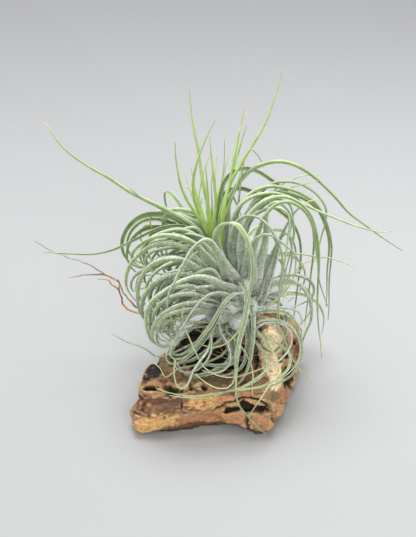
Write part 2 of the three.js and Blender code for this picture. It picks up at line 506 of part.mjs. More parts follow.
// Cross sections of a leaf along its path: two edges and the keel under them
function leafRings(curve, growth, grow = 0) {
  const length = curve.getLength();
  const points = curve.getSpacedPoints(RING_STEPS);
  const waist = Math.round(RING_STEPS * Math.min(0.5, (WAIST_REACH * growth.reach) / length));
  const keys = [
    ...keyIndices(points, 0, waist, RING_TOLERANCE).slice(0, -1),
    ...keyIndices(points, waist, RING_STEPS, RING_TOLERANCE),
  ];
  const out = points[1].clone().sub(points[0]);
  out.addScaledVector(stemAxis, -out.dot(stemAxis));
  const across = stemAxis.clone().cross(out).normalize();
  const rings = points.map((p, i) => {
    const before = points[Math.max(0, i - 1)];
    const after = points[Math.min(RING_STEPS, i + 1)];
    const along = after.clone().sub(before).normalize();
    across.addScaledVector(along, -across.dot(along)).normalize();
    const inner = along.clone().cross(across).normalize();
    const t = i / RING_STEPS;
    const reach = (t * length) / growth.reach;
    const broad = Math.exp(-(reach ** 3));
    const width = lerp(lerp(growth.blade, TIP_WIDTH, t ** growth.taper), growth.sheath, broad);
    const depth = lerp(KEEL_DEPTH, TIP_DEPTH, t ** growth.taper);
    const lift = lerp(BLADE_LIFT * depth, SHEATH_LIFT * width, broad);
    const half = width / 2 + 2 * grow;
    return [
      p.clone().addScaledVector(across, -half).addScaledVector(inner, lift + grow),
      p.clone().addScaledVector(across, half).addScaledVector(inner, lift + grow),
      p.clone().addScaledVector(inner, lift - depth - 1.5 * grow),
    ];
  });
  return keys.map((i) => rings[i]);
}

// The point at an angle and a distance round a middle
function offAxis(middle, side, other, distance, angle) {
  const p = middle.clone().addScaledVector(side, distance * Math.cos(angle));
  return p.addScaledVector(other, distance * Math.sin(angle));
}

// A thin root along a curve
function rootSolid(curve, steps, grow) {
  const points = curve.getSpacedPoints(steps);
  const across = new THREE.Vector3(0, 1, 0);
  return loft(points.map((p, i) => {
    const before = points[Math.max(0, i - 1)];
    const after = points[Math.min(steps, i + 1)];
    const along = after.clone().sub(before).normalize();
    across.addScaledVector(along, -across.dot(along)).normalize();
    const other = along.clone().cross(across);
    const r = 0.5 * lerp(ROOT_WIDTH, ROOT_TIP, i / steps) + grow;
    return Array.from({ length: ROOT_SIDES }, (_, j) => {
      const a = (j / ROOT_SIDES) * 2 * Math.PI;
      return offAxis(p, across, other, r, a);
    });
  }));
}

// A ball or egg shape
function ballSolid(centre, size, sides) {
  const geometry = new THREE.SphereGeometry(1, sides, sides / 2);
  geometry.deleteAttribute("normal");
  geometry.deleteAttribute("uv");
  const ball = mergeVertices(geometry).scale(...size).translate(...centre.toArray());
  return solidFrom(ball.attributes.position.array, ball.index.array);
}

// The largest body of a solid, with any sealed hollow filled and any loose scrap dropped
function mainBody(solid) {
  return solid.decompose().reduce((best, body) => (body.volume() > best.volume() ? body : best));
}

// How deep the hollows wear the side of the wood at a point
function wear(p) {
  let depth = 0;
  for (const [x, y, z, deep, along, high] of WOOD_HOLLOWS) {
    const off = ((p.x - x) ** 2 + (p.y - y) ** 2) / along ** 2 + ((p.z - z) / high) ** 2;
    depth += deep * Math.exp(-off);
  }
  return depth;
}

// A point of the wood's surface: a is its place round the outline from 0 to 1
function woodPoint(a, [share, rise], grow) {
  const rim = outlineCurve.getPointAt(a);
  const [cx, cy] = WOOD_CENTRE;
  const p = new THREE.Vector3(lerp(cx, rim.x, share), lerp(cy, rim.y, share), 0);
  const outer = share > SIDE_SHARE;
  const arched = outer && p.y < FRONT_ARCH.back;
  const arch = arched ? Math.exp(-(((p.x - FRONT_ARCH.x) / FRONT_ARCH.halfWidth) ** 2)) : 0;
  p.z = Math.max(rise * woodTop(p.x, p.y), FRONT_ARCH.height * arch);
  const side = outer ? 1 - smooth((rise - RIM_RISE) / (1 - RIM_RISE)) : 0;
  const waves = 0.7 * Math.sin(0.5 * p.z + 0.3 * p.x) + 0.6 * Math.sin(0.45 * p.x - 0.7 * p.y);
  const rough = rise > 0.1 ? waves : 0;
  const out = new THREE.Vector3(p.x - cx, p.y - cy, 0).normalize();
  p.addScaledVector(out, (outer ? grow : 0) - side * (wear(p) + rough));
  p.z += rise > 0.9 ? grow : 0;
  return p;
}

function woodSolid(grow = 0) {
  return loft(WOOD_ROWS.map((row) =>
    Array.from({ length: WOOD_AROUND }, (_, j) => woodPoint(j / WOOD_AROUND, row, grow))));
}

// The middle of the plant that the sheaths clothe
function coreSolid() {
  const side = new THREE.Vector3(1, 0, 0).addScaledVector(stemAxis, -stemAxis.x).normalize();
  const other = stemAxis.clone().cross(side);
  return loft(CORE.map(([h, r]) =>
    Array.from({ length: CORE_SIDES }, (_, j) => {
      const a = (j / CORE_SIDES) * 2 * Math.PI;
      return offAxis(stemPoint(h), side, other, r, a);
    })));
}

// The leaves of a table
function grown(rows, growth) {
  return rows.map(([h, ...points]) => {
    const curve = leafPath(h, points.map((p) => clearOfWood(...p)));
    return loft(leafRings(curve, growth));
  });
}

function rosetteSolid() {
  const bases = SHEATH_BASES.map(([across, down, back, radius]) =>
    ballSolid(sighted(across, down, back), [radius, radius, BASE_STRETCH * radius], BASE_SIDES));
  const spiral = Array.from({ length: SPIRAL.count }, (_, k) => {
    const { h, points } = spiralPoints(k);
    return loft(leafRings(leafPath(h, points), SPIRAL_GROWTH));
  });
  return wasm.Manifold.union([
    coreSolid(),
    ...bases,
    ...grown(FAN_LEAVES, FAN_GROWTH),
    ...grown(LONG_LEAVES, LONG_GROWTH),
    ...grown(LEFT_LEAVES, LEFT_GROWTH),
    ...grown(LEFT_LEAVES.map(innerLeaf), INNER_GROWTH),
    ...grown(FRONT_LEAVES, FRONT_GROWTH),
    ...grown(BAR_LEAVES, BAR_GROWTH),
    ...grown(BAR_LEAVES.slice(0, INNER_BARS).map(innerLeaf), BAR_GROWTH),
    ...grown(LOOP_LEAVES, LOOP_GROWTH),
    ...spiral,
  ]);
}

const heartCurves = HEART_LEAVES.map((points) => new THREE.CatmullRomCurve3(
  [stemPoint(HEART_SEAT), ...points.map((p) => sighted(...p))], false, "centripetal"));

function heartSolid(grow = 0) {
  const r = HEART_BOSS + grow;
  const boss = ballSolid(stemPoint(HEART_SEAT), [r, r, r], BOSS_SIDES);
  const blades = heartCurves.map((c) => loft(leafRings(c, HEART_GROWTH, grow)));
  return mainBody(wasm.Manifold.union([boss, ...blades]));
}

function rootsSolid(grow = 0) {
  const run = ROOT_RUN.map(([x, y, above]) =>
    new THREE.Vector3(x, y, Math.max(WOOD_TOP, woodTop(x, y)) + above));
  const tuft = ROOT_TUFT.map((row, i) => {
    const points = [...(i === 0 ? run : []), ...row.map((p) => sighted(...p))];
    const curve = new THREE.CatmullRomCurve3(points, false, "centripetal");
    return rootSolid(curve, Math.round(ROOT_DETAIL * points.length), grow);
  });
  const crown = ballSolid(ROOT_CROWN.centre, ROOT_CROWN.size.map((r) => r + grow), CROWN_SIDES);
  const mat = Array.from({ length: ROOT_MAT.count }, (_, k) => {
    const turn = (k / ROOT_MAT.count) * 2 * Math.PI + draw(k, 20);
    const points = Array.from({ length: ROOT_MAT.points }, (_, i) => {
      const r = ROOT_MAT.start + i * lerp(...ROOT_MAT.steps, draw(k, 21));
      const way = turn + ROOT_MAT.bend * Math.sin(1.7 * i + k);
      const x = ROOT_CROWN.centre.x + r * Math.cos(way);
      const y = ROOT_CROWN.centre.y + r * Math.sin(way);
      return new THREE.Vector3(x, y, woodTop(x, y) + ROOT_MAT.over);
    });
    return rootSolid(new THREE.CatmullRomCurve3(points), ROOT_MAT.points, grow);
  });
  return mainBody(wasm.Manifold.union([crown, ...mat, ...tuft]));
}

// A named mesh of a solid
function meshOf(name, solid, material) {
  const m = solid.getMesh();
  const positions = new Float32Array(m.numVert * 3);
  for (let i = 0; i < m.numVert; i++) {
    positions.set(m.vertProperties.subarray(i * m.numProp, i * m.numProp + 3), i * 3);
  }
  const geometry = new THREE.BufferGeometry()
    .setAttribute("position", new THREE.BufferAttribute(positions, 3))
    .setIndex(new THREE.BufferAttribute(m.triVerts, 1));
  geometry.computeVertexNormals();
  const mesh = new THREE.Mesh(geometry, new THREE.MeshStandardMaterial(material));
  mesh.name = name;
  return mesh;
}

const wood = woodSolid();
const fatWood = woodSolid(GAP);
const roots = mainBody(rootsSolid().subtract(fatWood));
const heart = heartSolid();
const rosette = mainBody(rosetteSolid()
  .subtract(fatWood)
  .subtract(rootsSolid(GAP))
  .subtract(heartSolid(GAP)));

const plant = new THREE.Group();
plant.add(
  meshOf("driftwood", wood, { color: 0xb07a48, roughness: 0.9 }),
  meshOf("rosette", rosette, { color: 0x9db08a, roughness: 0.75 }),
  meshOf("heart_leaves", heart, { color: 0x8fbf45, roughness: 0.6 }),
  meshOf("roots", roots, { color: 0x8a6038, roughness: 0.9 }),
);

export default plant;
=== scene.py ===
"""An air plant on driftwood: weathered wood, silver-haired curling leaves, a bright heart, wiry roots."""
import logging
import math
from dataclasses import dataclass
from enum import Enum

import bpy
import mathutils
import numpy as np
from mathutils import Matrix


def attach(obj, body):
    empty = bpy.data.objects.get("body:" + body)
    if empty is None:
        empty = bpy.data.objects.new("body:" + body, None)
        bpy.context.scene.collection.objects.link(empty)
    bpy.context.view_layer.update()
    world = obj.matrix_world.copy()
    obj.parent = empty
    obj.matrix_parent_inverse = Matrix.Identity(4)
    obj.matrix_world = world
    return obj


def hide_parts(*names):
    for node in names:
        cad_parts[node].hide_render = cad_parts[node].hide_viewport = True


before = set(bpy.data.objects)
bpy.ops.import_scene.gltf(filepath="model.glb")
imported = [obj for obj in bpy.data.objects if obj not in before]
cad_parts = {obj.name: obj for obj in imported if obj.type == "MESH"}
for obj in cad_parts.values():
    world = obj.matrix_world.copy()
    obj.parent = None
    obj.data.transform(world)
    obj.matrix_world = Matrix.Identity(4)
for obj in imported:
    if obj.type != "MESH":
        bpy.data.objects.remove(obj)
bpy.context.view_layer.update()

Array = np.ndarray
Colour = tuple[float, float, float, float]

# A millimetre in metres. Lengths below are in millimetres, unless the text beside them says metres.
MM = 0.001
LOG = logging.getLogger("air_plant")

# Each leaf below is its seat on the stem, from 0 at the foot to 1 at the top, then points on its way.
# A point is across and down in picture units of half a millimetre, then its Y in mm before the leaf
# is brought forward over the wood. Heart leaves and roots have no seat.
FAN_LEAVES = (
    (0.45, (230, 280, 0), (224, 265, -5), (217, 252, -8), (210, 242, -10), (203, 240, -12), (195, 246, -14),
      (187, 257, -16), (181, 269, -18), (176, 279, -19), (171, 288, -20), (168, 298, -20), (168, 309, -19),
      (172, 320, -18), (179, 329, -17)),
    (0.5, (222, 283, 4), (213, 268, 0), (204, 255, -2), (196, 246, -3), (186, 240, -3), (175, 236.5, -3),
      (162, 236, -3), (150, 239, -3), (140, 245, -2), (133, 252, -2), (132, 259, -2), (138, 265, -3),
      (148, 267, -5), (158, 265, -6)),
    (0.45, (218, 285, 3), (207, 273, -1), (197, 261, -3), (188, 251, -4), (178, 245.5, -4),
      (165, 243.5, -4), (152, 246, -4), (141, 253, -4), (132, 262, -4), (127, 273, -4), (126, 284, -4),
      (130, 294, -3), (136, 301, -2)),
    (0.42, (216, 290, 2), (206, 279, -2), (196, 269, -5), (186, 262, -7), (175, 259, -8), (163, 260, -8),
      (152, 265, -8), (144, 273, -8), (139, 284, -8), (137.5, 297, -8), (139, 310, -7), (145, 320, -6),
      (153, 321, -5)),
    (0.4, (214, 294, 0), (204, 284, -4), (193, 277, -7), (182, 275, -9), (170, 276, -10), (158, 281, -11),
      (149, 289, -11), (143, 300, -11), (142, 312, -10), (146, 322, -9), (154, 329, -8), (163, 330, -7)),
    (0.35, (228, 292, -2), (219, 285, -8), (209, 279, -12), (198, 277, -14), (187, 279, -16),
      (176, 284, -17), (165, 291, -18), (155, 298, -18), (148, 307, -18), (146, 318, -18), (147, 330, -17),
      (152, 341, -16), (161, 346, -15), (170, 345, -15)),
)

LONG_LEAVES = (
    (0.85, (204, 240, 14), (192, 225, 17), (178, 216, 18), (165, 209, 19), (150, 202, 20), (130, 192, 22),
      (109, 178, 24), (86, 165, 26), (63, 147.5, 29), (45, 122.5, 32)),
    (0.8, (206, 243, 13), (196, 232, 15), (184, 222, 16), (170, 214, 17), (156, 206, 18), (143, 199, 19),
      (130, 189, 20)),
    (0.7, (205, 247, 10), (196, 234, 12), (186, 227, 12), (170, 226, 11), (152, 231, 9), (132, 241, 7),
      (112, 250, 5), (94, 254, 3), (75, 254, 2), (56, 253, 2), (43, 252, 3)),
    (0.85, (230, 255, 14), (228, 238, 17), (227, 220, 20), (228, 205, 23), (234, 190, 25), (243, 177, 27),
      (254, 168, 28), (267, 163, 29), (281, 161.5, 29), (295, 165, 29), (309, 173, 28), (322, 184, 28),
      (336, 198, 27), (349, 213, 26), (365, 225, 25), (383, 238, 24), (402, 250.5, 23)),
    (0.75, (234, 250, 11), (232, 235, 13), (233, 220, 14), (240, 206, 15), (250, 198, 16), (262, 194, 17),
      (276, 193.5, 17), (290, 198, 17), (305, 205, 16), (320, 212, 15), (335, 218, 14), (350, 224, 13),
      (366, 229, 12), (380, 232, 12), (393, 231, 12)),
)

LEFT_LEAVES = (
    (0.75, (206, 245, 12), (197, 236, 15), (188, 227, 17), (177, 219, 18), (165, 215, 19), (152, 214, 20),
      (140, 217, 20), (130, 225, 20), (124, 235, 20), (122, 246, 20), (125, 256, 19), (132, 264, 18),
      (142, 268, 16), (152, 266, 15)),
    (0.65, (208, 252, 8), (199, 241, 8), (190, 233, 8), (178, 230, 7), (166, 232, 6), (154, 237, 5),
      (145, 245, 4), (140, 255, 4), (143, 264, 3), (151, 269, 2), (160, 268, 1)),
    (0.55, (212, 272, 8), (198, 262, 7), (184, 257, 6), (170, 262, 4), (156, 266, 3), (144, 270, 3),
      (135, 276, 3), (131, 284, 3), (133, 291, 2), (140, 289, 0)),
    (0.6, (210, 262, 8), (200, 252, 6), (190, 247, 5), (176, 247, 4), (163, 249, 3), (152, 252, 2),
      (146, 259, 1), (148, 267, 0), (155, 273, -2), (164, 274, -3)),
    (0.5, (212, 276, 6), (202, 267, 3), (190, 262, 1), (176, 262, -1), (163, 267, -3), (153, 275, -4),
      (147, 285, -5), (148, 295, -5), (155, 301, -5), (164, 301, -5)),
    (0.48, (213, 284, 4), (203, 276, 1), (191, 271, -1), (178, 271, -3), (166, 275, -5), (156, 283, -6),
      (150, 293, -7), (151, 304, -7), (158, 310, -7), (167, 309, -7)),
    (0.38, (213, 298, -2), (203, 291, -7), (192, 287, -10), (180, 287, -12), (168, 291, -13),
      (158, 298, -14), (151, 308, -14), (150, 320, -14), (156, 329, -13), (165, 330, -12)),
    (0.33, (212, 303, -4), (202, 297, -9), (190, 294, -12), (178, 295, -14), (166, 300, -15),
      (157, 308, -15), (153, 318, -15), (156, 328, -14), (164, 333, -13), (173, 331, -12)),
    (0.28, (214, 308, -6), (205, 305, -12), (195, 303.5, -16), (184, 304.5, -18), (173, 308, -20),
      (163, 314, -21), (156, 322, -21), (152, 332, -20), (154, 341, -19), (161, 346, -18), (170, 346, -18)),
    (0.25, (212, 314, -6), (202, 311, -12), (190, 310, -16), (178, 312, -18), (168, 315, -20),
      (160, 322, -20), (157, 331, -19), (160, 339, -18), (167, 342, -17), (175, 341, -17)),
    (0.8, (208, 236, 18), (203, 222, 20), (197, 214, 21), (188, 211, 21), (178, 209.5, 21), (165, 211, 21),
      (154, 213, 21), (150, 220, 20), (152, 229, 19)),
    (0.75, (207, 238, 16), (200, 226, 18), (190, 219, 19), (178, 215, 19), (168, 213, 19), (163, 218, 18),
      (163, 227, 17), (168, 234, 16)),
)

FRONT_LEAVES = (
    (0.28, (233, 300, -4), (226, 295, -9), (217, 293, -13), (208, 295, -16), (200, 301, -19),
      (192, 311, -21), (185, 322, -23), (179, 333, -24), (173, 344, -25), (170, 352, -26), (173, 358, -26),
      (182, 358, -26), (191, 352, -25), (200, 343, -23)),
    (0.3, (244, 298, -3), (241, 293, -6), (234, 294, -10), (226, 301, -14), (219, 311, -17),
      (213, 322, -20), (206, 331, -22), (198, 341, -24), (189, 350, -25), (180, 355, -26), (173, 354, -26),
      (169, 348, -25), (169, 342, -24)),
    (0.26, (236, 305, -5), (228, 303, -10), (221, 310, -15), (216, 321, -18), (210, 332, -21),
      (202, 343, -24), (193, 353, -26), (184, 360, -27), (175, 364, -28), (168, 362, -28), (166, 355, -27),
      (169, 348, -26)),
    (0.2, (230, 314, -4), (222, 312, -10), (215, 316, -14), (211, 326, -17), (211, 338, -20),
      (211, 350, -23), (206, 361, -26), (198, 369, -28), (189, 372, -29), (180, 371, -29), (175, 365, -29),
      (174, 358, -28)),
    (0.18, (228, 318, -4), (219, 318, -10), (213, 325, -15), (211, 338, -19), (207, 351, -24),
      (199, 362, -28), (193, 371, -31), (189, 381, -33), (184, 388, -34), (178, 387, -34), (175, 379, -33),
      (174, 369, -32), (176, 360, -31)),
    (0.22, (226, 320, -6), (219, 324, -11), (221, 333, -16), (227, 344, -20), (230, 355, -23),
      (229, 364, -26), (222, 371, -28), (212, 373, -29), (202, 370, -29)),
    (0.6, (224, 262, 8), (218, 247, 6), (216, 236, 3), (220, 227, 0), (228, 222.5, -4), (236, 224, -7),
      (243, 232, -10), (248, 243, -12), (251.5, 256, -14), (252.5, 270, -16), (251, 286, -18),
      (248, 302, -20), (244.5, 318, -22), (240, 334, -25), (237, 350, -28), (235.5, 366, -31),
      (235, 378, -34), (230, 387, -36), (221, 389, -36), (211, 386, -35), (202, 380, -34), (195, 374, -33)),
    (0.4, (240, 280, 2), (246, 290, -4), (247, 303, -10), (245, 318, -15), (241, 333, -20), (238, 348, -25),
      (237, 363, -29), (236, 378, -34), (235, 391, -38)),
    (0.12, (236, 336, -6), (238, 347, -12), (236, 357, -17), (229, 364, -21), (218, 366, -24),
      (207, 365, -26), (197, 367, -28), (190, 373, -30)),
    (0.15, (228, 335, -6), (220, 342, -12), (210, 349, -17), (200, 356, -21), (190, 361, -24),
      (180, 363, -26), (173, 368, -28)),
    (0.1, (232, 340, -8), (233, 352, -14), (228, 363, -19), (218, 370, -24), (206, 374, -27),
      (193, 376, -29), (182, 371, -30), (177, 363, -30)),
    (0.3, (251, 305, -4), (253, 318, -8), (253, 332, -12), (252, 346, -16), (250, 360, -20),
      (246, 372, -24), (240, 382, -28), (232, 388, -32)),
    (0.2, (246, 325, -2), (248, 338, -8), (247, 350, -13), (245, 361, -17), (240, 369, -21),
      (232, 373, -24), (222, 376, -27)),
)

BAR_LEAVES = (
    (0.9, (226, 262, 14), (221, 245, 16), (219, 228, 18), (219, 212, 20), (220, 196, 22), (224, 182, 24),
      (232, 172, 26), (244, 168, 28), (257, 171, 29), (270, 179, 30), (283, 189, 30), (296, 198, 29),
      (306, 209, 28), (312, 223, 27), (314, 239, 26), (313, 256, 25), (311, 273, 24), (309, 290, 23),
      (307, 306, 22), (305, 322, 21), (304, 334, 20)),
    (0.8, (236, 262, 10), (233, 245, 11), (233, 228, 13), (237, 212, 15), (246, 198, 17), (257, 190, 19),
      (269, 186.5, 20), (282, 187.5, 21), (295, 191, 22), (307, 197, 22), (317, 205, 22), (324, 217, 21),
      (329, 231, 20), (331.5, 246, 19), (331, 261, 18), (329.5, 276, 17), (329, 292, 16), (329, 307, 16),
      (328, 320, 15)),
    (0.8, (243, 268, 8), (241, 250, 8), (243, 232, 9), (249, 216, 10), (260, 204, 11), (272, 198, 12),
      (286, 197, 12), (298, 202, 12), (308, 211, 11), (314, 224, 10), (317.5, 240, 9), (319, 257, 8),
      (318.5, 275, 7), (317.5, 293, 6), (317.5, 310, 5), (318.5, 327, 4), (320.5, 343, 4), (321.5, 357, 4)),
    (0.85, (240, 240, 18), (247, 220, 20), (254, 203, 22), (262, 191, 24), (272, 184, 25), (284, 181.5, 26),
      (297, 183, 26), (309, 188.5, 26), (319, 197, 25), (326, 209, 24), (325, 224, 23), (321, 238, 22),
      (318, 251, 21), (314, 262, 20)),
    (0.7, (232, 245, 10), (234, 230, 8), (240, 219, 5), (250, 215, 2), (260, 218, 0), (269, 226, -2),
      (276, 237, -4), (281, 248, -5), (283, 262, -6), (281, 278, -7), (279, 294, -8), (278, 310, -9),
      (277, 324, -10), (281, 335, -11), (285, 341, -11)),
    (0.55, (246, 270, 6), (249, 254, 2), (254, 242, -1), (261, 235.5, -3), (269, 234.5, -4), (277, 239, -4),
      (285, 245, -3), (293, 252, -2), (299, 261, -1), (302, 268, 0), (297, 273, 0), (289, 277, -1),
      (283, 285, -2)),
    (0.75, (238, 238, 14), (246, 224, 13), (256, 214, 12), (268, 208.5, 10), (280, 208, 8), (288, 213, 6),
      (290, 224, 4), (288, 240, 1), (286, 256, -2), (283, 274, -4), (281, 292, -6), (279, 308, -7),
      (280, 322, -8)),
    (0.8, (240, 244, 16), (246, 228, 17), (256, 213, 18), (267, 203, 18), (279, 199, 18), (289, 204, 17),
      (293, 215, 15), (291, 228, 13), (288, 242, 11)),
    (0.65, (252, 280, 4), (252, 262, 3), (255, 244, 3), (260, 227, 4), (267, 213, 5), (277, 204, 6),
      (289, 202, 6), (300, 207, 6), (309, 217, 6), (314, 231, 5), (316, 246, 4), (318, 262, 4),
      (319, 279, 4), (323, 293, 5), (328, 307, 6)),
    (0.6, (256, 282, 8), (260, 264, 9), (264, 247, 10), (266, 231, 11), (266, 217, 12), (269, 206, 13),
      (277, 202, 13), (285, 207, 12), (291, 216, 11), (294, 228, 10), (293, 241, 9), (290, 254, 8),
      (286, 270, 6), (282, 290, 5)),
    (0.5, (258, 296, 8), (264, 279, 10), (270, 262, 12), (277, 246, 14), (284, 231, 16), (291, 218, 18),
      (299, 208, 19), (308, 202, 20), (317, 199, 21)),
    (0.45, (262, 302, 6), (269, 284, 7), (274, 266, 8), (278, 249, 9), (282, 236, 9), (287, 234, 8),
      (291, 243, 7), (292, 256, 6), (290, 270, 5), (286, 285, 4), (283, 300, 3)),
)

LOOP_LEAVES = (
    (0.35, (250, 296, 14), (258, 288, 16), (268, 280, 18), (278, 276, 20), (289, 275, 21), (300, 276, 22),
      (309, 280, 22), (314, 288, 22), (312, 297, 21), (305, 302, 20), (296, 306, 19), (288, 308, 18)),
    (0.3, (250, 302, 8), (258, 297, 8), (267, 290, 8), (276, 283, 8), (285, 279, 8), (294, 281, 8),
      (302, 287, 8), (308, 296, 7), (311.5, 308, 6), (311, 320, 5), (307, 330, 4), (303, 340, 3),
      (301, 352, 1), (297, 364, -1)),
    (0.25, (250, 309, 6), (260, 308, 4), (270, 307.5, 3), (280, 307.5, 2), (290, 308.5, 2), (297, 311, 2),
      (301, 317, 2), (302, 325, 1)),
    (0.22, (248, 318, 4), (255, 314, 2), (264, 311, 1), (274, 310.5, 0), (284, 312, 0), (291, 316, 0),
      (296, 323, -1), (299, 331, -2), (301, 341, -4), (302, 352, -6), (300, 363, -9), (294, 372, -12),
      (286, 379, -16), (276, 384, -20), (264, 388, -24), (250, 389, -28)),
    (0.18, (250, 332, 0), (254, 326, -3), (261, 321, -5), (271, 319.5, -6), (281, 321, -7), (289, 325, -7),
      (296, 333, -8), (300, 343, -9), (300, 354, -11), (296, 365, -14), (289, 373, -18), (280, 380, -22)),
    (0.16, (250, 336, -2), (256, 328, -5), (264, 323, -7), (274, 322, -8), (283, 324, -9), (290, 331, -10),
      (292, 341, -11), (288, 351, -13), (281, 359, -16), (272, 366, -19), (262, 374, -23), (252, 381, -27),
      (243, 386, -31)),
    (0.3, (255, 300, 14), (266, 298, 13), (277, 302, 11), (284, 312, 8), (286, 323, 6), (285, 334, 4),
      (281, 345, 2), (273, 352, 0), (265, 349, -1), (260, 341, -1), (261, 332, 0)),
)

HEART_LEAVES = (
    ((205, 228, 13), (196, 214, 13), (187, 200, 14), (181, 186, 16), (177.5, 170, 19), (175.5, 155, 22),
      (175, 140, 25)),
    ((206, 230, 13), (199, 212, 14), (194.5, 198, 16), (193, 184, 18), (195, 170, 20), (199, 156, 23),
      (204, 143, 27), (210, 130, 30), (217, 117.5, 33)),
    ((211, 222, 15), (207, 200, 19), (203, 182, 23), (200.5, 165, 28), (198.5, 150, 32), (194.5, 132, 38),
      (191.5, 113, 44), (190, 98, 48), (189.2, 86, 51)),
    ((208, 215, 12), (208, 197, 10), (207, 182, 8), (205.5, 163.5, 6)),
    ((214, 223, 14), (216, 205, 17), (215, 188, 20), (213, 170, 24), (211, 152, 30), (210, 134.5, 35)),
    ((204, 222, 18), (201, 208, 23), (197, 196, 29), (191, 188.5, 36), (186, 188, 42)),
    ((223, 215, 13), (226, 198, 15), (230, 180, 18), (233, 163, 21), (236, 147, 25), (240, 130, 30),
      (247, 111.5, 36)),
    ((221, 212, 16), (226, 196, 19), (233, 178, 23), (240, 166, 26), (249, 151, 30), (259, 135, 34),
      (268, 117, 39), (274, 100, 44), (279, 84, 48), (283, 70, 51)),
    ((222, 210, 20), (228, 190, 27), (233, 172, 34), (238, 155, 40), (242, 140, 43), (247, 125, 45)),
)

ROOT_TUFT = (
    ((135, 312, 27), (124, 305.5, 27), (121, 296, 27), (118.5, 289.5, 27), (119.5, 283, 27),
      (114, 278.5, 27), (106, 275.5, 27), (90, 264.5, 27), (69, 257.5, 27), (51, 250.5, 27),
      (34, 241.5, 27)),
    ((118, 280.5, 27), (106, 275.5, 27), (93, 274.5, 26), (83, 275.5, 25), (69, 277.5, 24)),
    ((121, 296, 27), (118, 289.5, 27), (112, 284.5, 27), (107, 279.5, 26), (98, 279, 25)),
    ((137, 308, 27), (130, 301, 27.5), (124, 294, 28), (120.5, 287, 28), (119, 281, 27.5), (113, 277, 27)),
)

# Low leaves beside the stem's foot, which the solids leave out
LOW_LEAVES = (
    (0.1, (220, 320, 4), (210, 320, 2), (200, 323, -2), (190, 330, -7), (181, 339, -12), (174, 348, -16),
      (170, 356, -19)),
    (0.15, (218, 313, 4), (208, 311, 2), (197, 313, -2), (187, 319, -7), (178, 328, -11), (171, 338, -14),
      (166, 347, -17)),
    (0.06, (224, 330, 2), (214, 333, -2), (204, 339, -8), (195, 347, -13), (188, 355, -18),
      (184, 362, -21)),
    (0.2, (216, 308, 6), (204, 305, 5), (193, 307, 1), (183, 313, -3), (175, 322, -7), (170, 332, -10)),
)

# Swollen feet of old sheaths round the front of the stem: across, down, back, radius
SHEATH_BASES = (
    (231, 303, 0, 5.6), (239, 321, 1, 5.4), (211, 301, 2, 5), (215, 317, 3, 4.8), (230, 334, 8, 5),
    (249, 306, 4, 4.8), (244, 286, 4, 4.2),
)

# Plan outline of the wood: X and Y in mm
WOOD_OUTLINE = (
    (-39, -33), (-22, -33), (-2, -30), (12, -32), (25, -34), (31, -24), (37, -8), (43, 11),
    (43, 24), (33, 33), (16, 34), (-4, 28), (-18, 18), (-25, 6), (-28, -4), (-35, -13), (-40, -20),
    (-43, -28),
)

# Lumps of its upper face: X, Y, height and radius in mm
WOOD_LUMPS = (
    (-35, -16, 6, 5), (-26, -7, 6, 5), (-37, -26, -3, 6), (-26, -20, 3, 5), (-14, -25, 3, 7),
    (4, -27, 2, 6), (24, 20, 8, 10), (26, 8, 10, 9), (28, -4, 8, 8), (30, -15, 5, 7),
    (38, 22, 4, 6), (12, -14, -7, 7), (14, 0, -6, 7), (-4, -12, -6, 7), (-18, 2, -2, 7),
    (5, 24, 4, 9), (-6, 16, 2, 8),
)

# Hollows of its sides: X, Y, Z, depth, reach along and reach up and down in mm
WOOD_HOLLOWS = (
    (17, -35, 15, 7, 6, 4), (4, -33, 14, 4, 8, 3), (-30, -35, 21.5, 3, 10, 2), (-12, -34, 20, 2.5, 6, 2.5),
    (-8, -34, 4, 3.5, 18, 6), (37, -16, 14, 5, 6, 6), (43, 2, 17, 5, 6, 6), (45, 16, 11, 3, 6, 6),
    (-45, -26, 15, 3, 6, 4), (-26, 12, 14, 5, 8, 8), (2, 33, 12, 4, 8, 8), (26, 35, 18, 4, 7, 7),
    (-42, -28, 22, 3, 7, 5),
)

# Rows of its surface: share of the way from its centre to its outline, then share of its height
WOOD_ROWS = (
    (0.8, 0), (0.88, 0), (0.97, 0.03), (1, 0.13), (1.01, 0.26), (1.01, 0.4), (1.01, 0.54),
    (1, 0.68), (0.99, 0.81), (0.965, 0.93), (0.92, 1), (0.85, 1), (0.77, 1), (0.68, 1),
    (0.58, 1), (0.47, 1), (0.35, 1), (0.22, 1), (0.1, 1),
)

# Way of the longest root over the wood: X, Y and height over the wood in mm
ROOT_RUN = ((11, 17, 2), (4, 20, 1.6), (-4, 21.5, 1.5), (-12, 21, 3), (-22, 23, 5), (-32, 25, 8))

